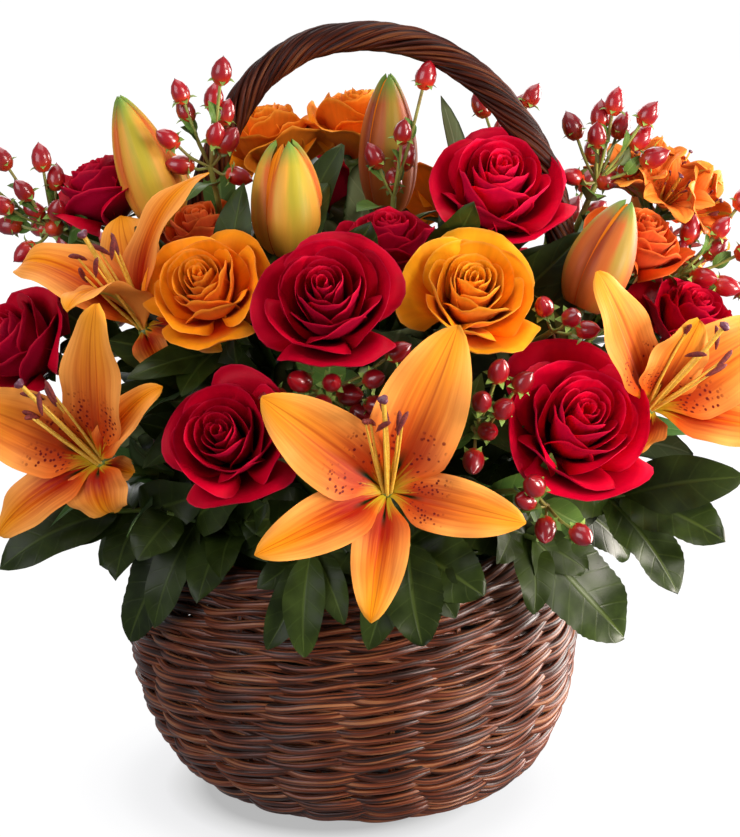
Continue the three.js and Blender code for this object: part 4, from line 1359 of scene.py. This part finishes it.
# ---------------------------------------------------------------- the basket
@dataclass
class Basket:
    """The woven bowl, its border and base, the wound handle, and the liner and foam inside."""

    foot_shift: float = -3.0  # how far to the side the foot stands
    lean: float = -0.0441  # how far the bowl moves to the side for each millimetre up
    base_radius: float = 51.0
    base_thickness: float = 6.0
    base_rings: int = 13
    base_sticks: int = 8
    belly_radius: float = 103.0
    belly_height: float = 74.0
    rim_radius: float = 97.0
    wall_top: float = 116.0
    stakes: int = 18
    rod: float = 1.98
    swing: float = 2.2  # how far a rod swings in and out past the stakes
    row_pitch: float = 4.55
    border_strands: int = 6
    border_turns: int = 7
    border_swing: float = 4.1
    wrap_start: float = 134.0
    wrap_pitch: float = 84.0
    wrap_strands: int = 13
    wrap_radius: float = 5.1
    liner_top: float = 112.0
    liner_top_radius: float = 71.0
    liner_foot_radius: float = 46.0
    liner_wall: float = 2.5
    foam_top: float = 150.0

    def leant(self, points: Array) -> Array:
        """Points set a little to the left and leant that way as they rise, as the CAD basket is."""
        return points + (self.foot_shift + self.lean * points[..., 2:]) * np.array((1.0, 0.0, 0.0))

    def add_leant(self, piece: Piece, patch: Patch) -> None:
        """Adds a patch to a piece, leant as the basket is."""
        patch.points = self.leant(patch.points)
        piece.add(patch)

    def side_radius(self, height: Array) -> Array:
        """The bowl's outer radius at a height, by the CAD part's formula.

        Below the belly it is a quarter of an ellipse, and above it a parabola that draws in.
        """
        foot = self.base_radius + 4.0
        low = 1.0 - np.clip(height / self.belly_height, 0.0, 1.0)
        high = np.clip((height - self.belly_height) / (self.wall_top - self.belly_height), 0.0, 1.0)
        below = foot + (self.belly_radius - foot) * np.sqrt(1.0 - low**2)
        above = self.belly_radius - (self.belly_radius - self.rim_radius) * high**2
        return np.where(height < self.belly_height, below, above)

    def wall(self, count: int) -> tuple[Array, Array]:
        """Points and outward normals in (radius, height) along the middle of the woven wall."""
        height = np.linspace(2.6, self.wall_top - 1.0, 400)
        line = np.stack([self.side_radius(height), height, np.zeros(400)], axis=1)
        way = unit(np.gradient(line, axis=0))
        normal = np.stack([way[:, 1], -way[:, 0]], axis=1)
        middle = line[:, :2] - normal * 4.6
        even = spaced(np.column_stack([middle, np.zeros(400)]), count)[:, :2]
        even[:, 1] = np.maximum(even[:, 1], 2.4)
        way = np.gradient(even, axis=0)
        way /= np.linalg.norm(way, axis=1, keepdims=True)
        return even, np.stack([way[:, 1], -way[:, 0]], axis=1)

    def woven(
        self, centres: Array, normals: Array, stakes: int, swing: Array, rod: float, dice: np.random.Generator
    ) -> list[Patch]:
        """Pairs of rods that twist round each other, one in front of each stake and one behind.

        Each row has two rods. A rod's distance from the wall's middle is a cosine with one wave
        for two stakes, squared off a little, and its height is a sine of the same phase, so the
        stretch that shows in front of a stake climbs. The second rod is half a wave behind.

        Args:
            centres: Each row's (radius, height).
            normals: The wall's outward normal there.
            stakes: How many stakes there are, an even number.
            swing: How far each row swings.
            rod: The rods' radius.
            dice: The source of the small differences between rods.

        Returns:
            Two closed rods for each row.
        """
        angle = np.linspace(0.0, TURN, stakes * 11, endpoint=False)
        made = []

        def waver(size: float, waves: int) -> Array:
            """A ripple along the rod from a random start."""
            return size * np.sin(angle * waves + 6.3 * dice.random())

        for centre, normal, reach in zip(centres, normals, swing):
            shift = float(dice.uniform(-0.6, 0.6))
            for half in (0.0, math.pi):
                phase = angle * stakes / 2 + shift + half
                squared = np.cos(phase) / np.sqrt(np.cos(phase) ** 2 + 0.8) * math.sqrt(1.8)
                ripple = waver(0.3, 5) + waver(0.45, 13)
                out = reach * squared + waver(0.4, 7)
                rise = 0.9 * rod * np.sin(phase) + ripple
                radius = centre[0] + normal[0] * out - normal[1] * rise
                path = polar(radius, angle, centre[1] + normal[1] * out + rise * normal[0])
                thick = rod * (1 + waver(0.1, 7) + float(dice.uniform(-0.16, 0.1)))
                made.append(tube(path, thick, 7, loop=True, random=float(dice.random())))
        return made

    def build_siding(self) -> None:
        """The woven side and its upright stakes."""
        dice = np.random.default_rng(7)
        piece = Piece("willow_siding", "basket_siding", "willow", [WILLOW])
        fine = self.wall(200)[0]
        length = float(np.linalg.norm(np.diff(fine, axis=0), axis=1).sum())
        count = int(round(length / self.row_pitch))
        centres, normals = self.wall(count)
        # The lowest rows are a band of waling, which hardly swings.
        swing = self.swing * smoothstep(-1.5, 3.5, np.arange(count))
        for rod in self.woven(centres, normals, self.stakes, swing, self.rod, dice):
            self.add_leant(piece, rod)
        for number in range(self.stakes):
            angle = TURN * number / self.stakes
            path = polar(centres[:, 0] - 1.6, angle, centres[:, 1])
            level = (-math.sin(angle), math.cos(angle), 0.0)
            self.add_leant(piece, tube(path, 1.5, 6, level, random=float(dice.random())))
        piece.build()

    def build_base(self) -> None:
        """The flat base: rods woven in rings over and under crossed sticks, on a thin disc."""
        dice = np.random.default_rng(8)
        piece = Piece("willow_base", "basket_base", "willow", [WILLOW])
        count, edge = self.base_rings, self.base_radius
        centres = np.stack([np.linspace(8.0, edge - 3.2, count), np.full(count, 3.0)], axis=1)
        normals, swing = np.tile((0.0, 1.0), (count, 1)), np.full(count, 0.9)
        for rod in self.woven(centres, normals, 2 * self.base_sticks, swing, 1.7, dice):
            self.add_leant(piece, rod)
        for number in range(self.base_sticks):
            way = spoke(math.pi * number / self.base_sticks)
            path = np.linspace(-1, 1, 9)[:, None] * way * (edge - 2.0) + np.array((0, 0, 3.0))
            piece.add(tube(self.leant(path), 1.5, 6, random=float(dice.random())))
        disc = [[0, 1.2], [edge - 3, 1.2], [edge - 2.4, 1.8], [edge - 3, 2.4], [0, 2.4]]
        self.add_leant(piece, turned(np.array(disc), 40))
        piece.build()

    def build_border(self) -> None:
        """The rolled border: rods laid round the rim like the strands of a rope."""
        dice = np.random.default_rng(9)
        piece = Piece("willow_border", "basket_border", "willow", [WILLOW])
        radius, height, reach = self.rim_radius - 5.0, self.wall_top + 6.8, self.border_swing
        angle = np.linspace(0.0, TURN, 360, endpoint=False)
        for number in range(self.border_strands):
            phase = angle * self.border_turns + TURN * number / self.border_strands
            path = polar(radius + reach * np.cos(phase), angle, height + reach * np.sin(phase))
            self.add_leant(piece, tube(path, 2.4, 8, loop=True, random=float(dice.random())))
        piece.build()

    def build_handle(self) -> None:
        """The handle: a core of three rods, and thin rods wound round it side by side."""
        along_y = (0.0, 1.0, 0.1)
        arch = smooth_path(HANDLE_POINTS, 260)
        core = Piece("handle_rods", "handle_core", "handle_willow", [HANDLE_WILLOW])
        side, over = self.handle_frame(arch)
        for number in range(3):
            turn = TURN * number / 3
            path = arch + (side * math.cos(turn) + over * math.sin(turn)) * 2.0
            core.add(tube(path, 1.8, 8, along_y, random=0.2 + 0.3 * number))
        core.build()
        dice = np.random.default_rng(10)
        wrap = Piece("wound_handle", "handle_wrap", "handle_willow", [HANDLE_WILLOW])
        shown = spaced(arch[arch[:, 2] > self.wrap_start], 300)
        side, over = self.handle_frame(shown)
        length = np.linalg.norm(np.diff(shown, axis=0), axis=1).sum()
        along = np.linspace(0.0, length, len(shown))
        for number in range(self.wrap_strands):
            turn = TURN * (along / self.wrap_pitch + number / self.wrap_strands)
            turn = turn + 0.05 * np.sin(along * 0.08 + 6.3 * dice.random())
            out = self.wrap_radius + 0.25 * np.sin(along * 0.15 + 6.3 * dice.random())
            ring = side * np.cos(turn)[:, None] + over * np.sin(turn)[:, None]
            thick = float(dice.uniform(1.4, 1.65))
            wrap.add(tube(shown + ring * out[:, None], thick, 7, along_y, random=float(dice.random())))
        wrap.build()

    @staticmethod
    def handle_frame(path: Array) -> tuple[Array, Array]:
        """Two directions square to the arch at each of its points."""
        way = unit(np.gradient(path, axis=0))
        side = unit(np.cross(way, (0.0, 1.0, 0.0)))
        return side, np.cross(side, way)

    def build_liner(self) -> None:
        """The liner bowl with its small rolled rim."""
        floor, lip = self.base_thickness + 0.3, self.liner_top
        top, wall, foot = self.liner_top_radius, self.liner_wall, self.liner_foot_radius
        outer = [[0, floor], [foot - 2, floor], [foot, floor + 1.5], [top - 0.6, lip - 3], [top, lip - 1.2]]
        inner = [[top - wall, lip - 1.2], [foot - wall, floor + wall], [0, floor + wall]]
        piece = Piece("liner_bowl", "liner", "liner_plastic", [LINER])
        self.add_leant(piece, turned(np.array([*outer, [top - wall / 2, lip], *inner]), 64))
        piece.build()

    def build_foam(self) -> None:
        """The soaked foam with its crown domed above the liner."""
        floor, inset = self.base_thickness + self.liner_wall + 0.6, self.liner_wall + 0.3
        side = self.liner_top_radius - inset
        corner = np.linspace(0.0, math.pi / 2, 8)
        dome = np.stack([side - 16 + 14 * np.cos(corner), 130 + 16 * np.sin(corner)], axis=1)
        lower = [[0, floor], [self.liner_foot_radius - inset, floor], [side, self.liner_top]]
        crown = [[0.4 * side, self.foam_top], [0, self.foam_top]]
        piece = Piece("wet_foam_block", "floral_foam", "wet_foam", [FOAM])
        self.add_leant(piece, turned(np.vstack([lower, dome, crown]), 56))
        piece.build()

    def build(self) -> None:
        """Every piece of the basket."""
        self.build_base()
        self.build_siding()
        self.build_border()
        self.build_handle()
        self.build_liner()
        self.build_foam()


# ---------------------------------------------------------------- the plan, as the CAD part has it
HANDLE_POINTS: list[Point] = [
    (-84.6, 6, 58), (-89.2, 6, 130), (-89, 6, 180), (-78, 5, 245), (-64, 4.5, 297), (-47, 3, 326),
    (-25, 1.5, 341.5), (-2, 0, 345.7), (22, -1.5, 343), (45, -3, 331), (65, -5, 310.4), (79, -6, 286),
    (87, -6.5, 245), (83, -7, 190), (71.3, -7, 130), (76, -7, 58),
]
# Each rose: its name and kind, its bloom's middle and facing, its radius, and its stem's bend.
ROSES: list[tuple[str, Kind, Point, Point, float, Pair]] = [
    ("red_rose_1", Kind.RED, (-16, -97, 252), (-0.1, -0.85, 0.5), 31, (0, 0)),
    ("red_rose_2", Kind.BRIGHT, (57, -22, 283), (0.2, -0.7, 0.7), 31, (0, 0)),
    ("red_rose_3", Kind.RED, (-58, -114, 197), (-0.25, -0.93, 0.25), 29, (0, 0)),
    ("red_rose_4", Kind.BRIGHT, (89, -92, 197), (0.3, -0.88, 0.35), 34, (0, 0)),
    ("red_rose_5", Kind.RED, (-117, 8, 275), (-0.5, 0.1, 0.85), 24, (0, -16)),
    ("red_rose_6", Kind.RED, (-151, -38, 217), (-0.9, -0.4, 0.2), 27, (0, 0)),
    ("red_rose_7", Kind.RED, (143, -14, 222), (0.6, -0.4, 0.7), 24, (0, 14)),
    ("red_rose_8", Kind.RED, (10, -36, 262), (0.05, -0.3, 0.95), 23, (0, 0)),
    ("red_rose_9", Kind.RED, (-20, 96, 252), (-0.1, 0.85, 0.5), 29, (0, 0)),
    ("red_rose_10", Kind.RED, (72, 114, 200), (0.4, 0.88, 0.25), 29, (0, 0)),
    ("orange_rose_1", Kind.ORANGE, (-67, -76, 252), (-0.3, -0.82, 0.5), 26, (0, 0)),
    ("orange_rose_2", Kind.AMBER, (44, -84, 252), (0.15, -0.85, 0.5), 28, (0, 0)),
    ("orange_rose_3", Kind.ORANGE, (-44, 45, 292), (-0.2, 0.1, 1), 24, (0, 0)),
    ("orange_rose_4", Kind.ORANGE, (-4, 56, 296), (0.1, 0.2, 1), 25, (8, -8)),
    ("orange_rose_5", Kind.CORAL, (121, -10, 256), (0.45, -0.3, 0.8), 22, (0, 0)),
    ("orange_rose_6", Kind.CORAL, (-72, -18, 262), (-0.25, -0.3, 0.9), 21, (0, 0)),
    ("orange_rose_7", Kind.ORANGE, (-72, 108, 202), (-0.4, 0.88, 0.25), 28, (0, 0)),
    ("orange_rose_8", Kind.AMBER, (46, 82, 256), (0.3, 0.75, 0.6), 27, (0, 0)),
]
# The petals of the lilies that the photograph shows, each as a Tepal's fields in order.
TEPALS: dict[str, list[tuple]] = {
    "lily_1": [
        (67, 76, 38, 60, 92, 8), (143, 67, 34, 56, 84, 10), (205, 62, 25, 60, 90, 10, False),
        (262, 54, 24, 62, 96, 8, False), (347, 59, 25, 62, 94, 8),
    ],
    "lily_2": [
        (92, 79, 25, 21, 100, 20, False), (143, 58, 34, 60, 62, 24), (197, 78, 28, 4, 103, 30, False),
        (292, 53, 29, -26, 86, 20, False), (325, 22, 16, 130, 178, 0, False),
        (34, 36, 20, 95, 165, 0, False),
    ],
    "lily_3": [
        (80, 77, 31, 46, 58, 10), (163, 66, 34, 51, 50, 8), (221, 61, 22, 57, 125, 9, False),
        (288, 27, 29, 45, 165, 40, False), (52, 50, 17, 36, 118, 30, False),
        (345, 18, 12, 140, 178, 0, False),
    ],
    "lily_4": [
        (116, 68, 26, 60, 74, 8), (72, 46, 28, 40, 40, 0), (24, 66, 37, 51, 83, 4),
        (340, 64, 26, 58, 94, 12, False), (205, 36, 20, 125, 178, 0, False),
        (275, 36, 20, 130, 178, 0, False),
    ],
}
UNSEEN_TEPAL: Pair = (62.0, 32.0)  # a petal's length and width on the other lilies
# Each lily: its name, middle and facing, and its stamens' lean and fan.
LILIES: list[tuple[str, Point, Point, Point, float]] = [
    ("lily_1", (9, -120, 177), (0.02, -0.95, 0.3), (-0.05, 0.85, 0.75), 0.2),
    ("lily_2", (-95, -60, 231), (-0.5, -0.3, 0.8), (-0.1, 0.1, 1.0), 0.26),
    ("lily_3", (-113, -88, 180), (-0.4, -0.84, 0.38), (-0.55, 0.6, 0.85), 0.2),
    ("lily_4", (121, -78, 201), (0.45, -0.8, 0.4), (0.45, 0.6, 0.9), 0.3),
    ("lily_5", (0, 128, 190), (0, 0.95, 0.3), (0.0, 0.4, 1.0), 0.32),
    ("lily_6", (126, 58, 208), (0.85, 0.4, 0.35), (0.1, 0.4, 1.0), 0.32),
]
# Each bud: its name, foot and facing, length, radius, split and turn, and its finish.
BUDS: list[tuple[str, Point, Point, float, float, float, float, Finish]] = [
    ("lily_bud_1", (-87, -8, 263), (-0.33, 0, 0.94), 62, 12.2, 0.2, 4.3, BUD),
    ("lily_bud_2", (-33, -33, 256), (-0.03, 0.08, 1), 54, 14.6, 3.4, 3.65, BUD),
    ("lily_bud_3", (10, 20, 264), (0, 0.03, 1), 62, 12.2, 0.6, 4.9, FLUSHED_BUD),
    ("lily_bud_4", (93, -48, 237), (0.4, 0.12, 0.9), 51, 13.2, 1.0, 5.4, FLUSHED_BUD),
    ("lily_bud_5", (-84, 60, 246), (-0.45, 0.4, 0.8), 59, 12.2, 0.3, 1.0, BUD),
]
ALSTROEMERIA = Bloom("alstroemeria_1", (136, 36, 268), (0.5, 0.2, 0.85))
# Each spray: its name, middle and facing, its stem's bend, and each berry's place right and up of the middle.
SPRAYS: list[tuple[str, Point, Point, Pair, list[Pair]]] = [
    ("hypericum_1", (-150, 0, 271), (-0.75, 0, 0.65), (0, 40), [
        (-10, 20), (7, 19), (0, 7), (13, 10), (4, -3), (-10, 0), (-8, -11), (0, -20), (12, -11), (-18, 9),
        (14, -2), (6, -12),
    ]),
    ("hypericum_2", (-71, -17, 306), (-0.2, -0.2, 0.95), (0, 0), [
        (-9, 18), (-7, 9), (-14, -1), (10, 8), (11, -3), (6, 0), (5, 14), (9, 28), (-9, -14), (15, -19),
    ]),
    ("hypericum_3", (13, -5, 291), (0.05, 0, 1), (0, 0), [(-9, 2), (4, 1), (3, 14), (-1, -10), (13, 38)]),
    ("hypericum_4", (109, 15, 292), (0.4, 0.05, 0.9), (0, 0), [
        (1, 21), (-5, 14), (15, 17), (-17, 9), (12, 5), (18, -3), (-7, -2), (-17, -11), (-2, -14), (8, -9),
        (-7, 7), (4, 9),
    ]),
    ("hypericum_5", (152, 4, 247), (0.8, 0, 0.6), (0, 0), [
        (-12, 0), (3, 1), (-3, -9), (16, 24), (5, 12), (17, 2), (17, -18), (7, -13), (-8, 10),
    ]),
    ("hypericum_6", (-17, -108, 217), (0, -0.95, 0.3), (0, 0), [
        (-10, 4), (-21, -4), (-1, -4), (10, -3), (21, -6), (20, 6), (30, 15), (3, 5), (14, -10),
    ]),
    ("hypericum_7", (48, -108, 200), (0.1, -0.95, 0.3), (0, 0), [
        (7, 25), (17, 19), (0, 14), (3, -2), (-3, -13), (9, 10),
    ]),
    ("hypericum_8", (81, -122, 168), (0.3, -0.9, 0.1), (0, 0), [(-11, 12), (-6, -8), (8, -7), (-14, 4)]),
    ("hypericum_9", (84, -82, 240), (0.3, -0.8, 0.5), (0, 0), [(-9, 6), (9, -5), (2, 3)]),
    ("hypericum_10", (64, 34, 303), (0.2, 0.1, 0.97), (0, 0), [(10, 9), (-12, 4), (-3, -5), (4, 2)]),
    ("hypericum_11", (-128, 60, 222), (-0.8, 0.5, 0.4), (0, 16), [
        (-10, 16), (6, 14), (-2, 2), (12, 2), (-12, -8), (4, -12), (12, -20),
    ]),
    ("hypericum_12", (98, 92, 243), (0.55, 0.6, 0.6), (0, 0), [
        (-10, 14), (6, 16), (-2, 4), (10, 2), (-10, -8), (4, -10),
    ]),
]
# Each leafy stem: its stalk, how many collar leaves it has, and its other leaves.
LEAF_STEMS: list[tuple[str, list[Point], int, list[tuple[float, Point, float]]]] = [
    ("leaf_stem_1", [(-74, -36, 142), (-112, -54, 146)], 10, [
        (1, (-160, -62, 122), 20), (0.9, (-141, -50, 128), 18), (0.7, (-118, -30, 112), 20),
        (0.8, (-108, -76, 122), 18), (0.6, (-116, -18, 134), 20),
    ]),
    ("leaf_stem_2", [(-60, -62, 142), (-86, -68, 150)], 10, [
        (1, (-98, -84, 134), 19), (0.8, (-104, -60, 88), 22), (0.85, (-92, -76, 100), 16),
        (0.6, (-72, -93, 118), 18), (0.5, (-62, -98, 131), 16),
    ]),
    ("leaf_stem_3", [(-18, -74, 142), (-24, -104, 143)], 10, [
        (1, (-26, -114, 101), 15), (0.9, (-42, -110, 103), 15), (0.9, (-9, -114, 116), 12),
        (0.7, (-46, -100, 127), 14),
    ]),
    ("leaf_stem_4", [(16, -74, 142), (18, -104, 148)], 10, [
        (1, (24, -114, 106), 22), (0.95, (1, -113, 104), 16), (0.85, (50, -109, 127), 25),
        (0.8, (38, -112, 118), 18),
    ]),
    ("leaf_stem_5", [(54, -60, 142), (74, -80, 142)], 10, [
        (0.9, (72, -94, 113), 15), (1, (113, -66, 92), 29), (0.8, (56, -100, 138), 13),
        (0.9, (96, -76, 126), 16),
    ]),
    ("leaf_stem_6", [(76, -26, 142), (116, -44, 150)], 10, [
        (1, (156, -66, 136), 25), (0.9, (136, -66, 112), 25), (1, (164, -60, 164), 21),
        (0.6, (118, -20, 112), 22), (0.95, (152, -26, 142), 20),
    ]),
    ("leaf_stem_7", [(-70, 44, 142), (-104, 62, 148)], 15, [
        (1, (-142, 76, 130), 24), (0.9, (-122, 42, 104), 24), (0.8, (-94, 92, 102), 24),
        (0.6, (-82, 82, 128), 18), (0.95, (-136, 40, 150), 20), (0.3, (-58, 88, 136), 24),
        (0.1, (-52, 78, 160), 24), (0.5, (-70, 88, 122), 20),
    ]),
    ("leaf_stem_8", [(2, 78, 142), (6, 106, 146)], 16, [
        (1, (12, 126, 106), 24), (0.9, (-24, 118, 102), 24), (0.9, (40, 116, 104), 24),
        (0.6, (-48, 106, 116), 22), (0.7, (66, 100, 112), 22), (0.3, (-50, 89, 138), 25),
        (0.1, (-42, 80, 153), 25), (0.1, (-26, 74, 166), 24), (0.3, (42, 90, 140), 25),
        (0.1, (36, 74, 164), 24), (0.6, (-40, 96, 122), 20), (0.15, (6, 92, 172), 24),
    ]),
    ("leaf_stem_9", [(78, 34, 142), (112, 50, 148)], 15, [
        (1, (150, 66, 132), 24), (0.9, (122, 76, 106), 24), (0.85, (128, 18, 108), 24),
        (0.6, (92, 84, 124), 20), (0.95, (150, 22, 148), 20), (0.3, (60, 84, 138), 24),
        (0.1, (56, 72, 162), 24),
    ]),
    ("leaf_stem_10", [(26, -16, 200), (30, -30, 262)], 0, [
        (1, (46, -62, 286), 17), (0.8, (33, 8, 318), 14), (0.6, (-3, -22, 262), 14),
        (0.9, (62, 8, 304), 13), (0.5, (88, -30, 236), 24), (0.3, (84, -34, 214), 24),
        (0.7, (86, -24, 258), 20), (0.6, (94, -34, 266), 22), (0.45, (97, -36, 246), 22),
        (0.1, (72, -52, 196), 24),
    ]),
    ("leaf_stem_11", [(-44, -30, 200), (-62, -44, 240)], 0, [
        (1, (-52, -42, 290), 16), (0.5, (-94, -92, 178), 20), (0.7, (-100, -92, 218), 15),
        (0.9, (-100, -30, 268), 16), (0.8, (-10, -10, 300), 20), (0.95, (-16, -24, 286), 24),
        (0.4, (-82, -86, 206), 22), (0.2, (-98, -70, 192), 24), (0.6, (-110, -62, 226), 28),
        (0.3, (-108, -62, 204), 26), (0.8, (-78, -90, 210), 19), (0.1, (-72, -84, 176), 24),
    ]),
]


# ---------------------------------------------------------------- the studio
LIGHTS: list[tuple[str, Point, float, float, int]] = [
    ("key_right", (950, -760, 900), 0.5, 10.0, 0xFFF8F0),
    ("fill_left", (-1000, -950, 600), 1.0, 12.0, 0xFAF8FF),
    ("side_right", (1000, -560, 140), 0.4, 18.0, 0xFFF4EC),
    ("graze_right", (1000, 480, 260), 0.7, 26.0, 0xFFF4EC),
    ("back", (-250, 1300, 800), 1.2, 12.0, 0xFFFFFF),
    ("top", (0, 200, 1400), 1.2, 10.0, 0xFFFFFF),
]


@dataclass
class Studio:
    """The white sweep, the lights and the camera at the photograph's viewing angle."""

    target: Point = (1.8, 0.0, 172.0)
    elevation: float = 17.0
    distance: float = 1500.0
    lens: float = 143.369
    ambient: float = 0.28
    half_floor: float = 6.0  # m

    @staticmethod
    def place(name: str, data: bpy.types.ID, at: Vector, back: Vector) -> bpy.types.Object:
        """Puts a light or camera at a place in millimetres, with its back to a direction."""
        made = bpy.data.objects.new(name, data)
        made.location = at * MM
        made.rotation_mode = "QUATERNION"
        made.rotation_quaternion = back.to_track_quat("Z", "Y")
        bpy.context.scene.collection.objects.link(made)
        return made

    def light(self, name: str, at: Point, size: float, power: float, colour: int) -> None:
        """A square soft box that looks at the flowers."""
        lamp = bpy.data.lights.new(name, "AREA")
        lamp.size = size
        lamp.energy = power
        lamp.color = linear(colour)[:3]
        self.place(name, lamp, Vector(at), Vector(at) - Vector(self.target)).visible_camera = False

    def build_floor(self) -> None:
        """The sweep, a backdrop only: it throws no light up at the basket."""
        half = self.half_floor
        mesh = bpy.data.meshes.new("floor")
        corners = [(-half, -half, 0), (half, -half, 0), (half, half, 0), (-half, half, 0)]
        mesh.from_pydata(corners, [], [(0, 1, 2, 3)])
        mesh.materials.append(PAPER.material())
        floor = bpy.data.objects.new("floor", mesh)
        bpy.context.scene.collection.objects.link(floor)
        floor.visible_diffuse = False
        floor.visible_glossy = False

    def build(self) -> None:
        """Floor, world, lights and camera."""
        self.build_floor()
        world = bpy.data.worlds.new("studio")
        world.use_nodes = True
        background = world.node_tree.nodes["Background"]
        background.inputs["Color"].default_value = linear(0xF6F8FF)
        background.inputs["Strength"].default_value = self.ambient
        bpy.context.scene.world = world
        for row in LIGHTS:
            self.light(*row)
        bpy.context.scene.view_settings.view_transform = "Standard"
        camera = bpy.data.cameras.new("camera")
        camera.lens = self.lens
        rise = math.radians(self.elevation)
        back = Vector((0.0, -math.cos(rise), math.sin(rise)))
        at = Vector(self.target) + back * self.distance
        bpy.context.scene.camera = self.place("camera", camera, at, back)


def main() -> None:
    """Builds every piece in order."""
    logging.basicConfig(level=logging.INFO, format="%(name)s %(message)s")
    FRAME.update(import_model())
    Studio().build()
    Basket().build()
    for seed, (name, kind, at, face, radius, bend) in enumerate(ROSES, 11):
        Rose(Bloom(name, at, face, bend), radius, kind, seed).build()
    for seed, (name, at, face, lean, fan) in enumerate(LILIES, 31):
        tepals = [Tepal(*row) for row in TEPALS.get(name, ())] or open_tepals(*UNSEEN_TEPAL, seed)
        Lily(Bloom(name, at, face), tepals, seed, lean, fan=fan).build()
    for seed, (name, at, face, length, radius, split, turn, finish) in enumerate(BUDS, 41):
        LilyBud(Bloom(name, at, face), length, radius, seed, split, turn, finish).build()
    AlstroemeriaCluster(ALSTROEMERIA).build()
    for seed, (name, at, face, bend, berries) in enumerate(SPRAYS, 71):
        BerrySpray(Bloom(name, at, face, bend), berries, seed).build()
    for seed, row in enumerate(LEAF_STEMS, 91):
        LeafStem(*row, seed).build()


if __name__ == "__main__":
    main()
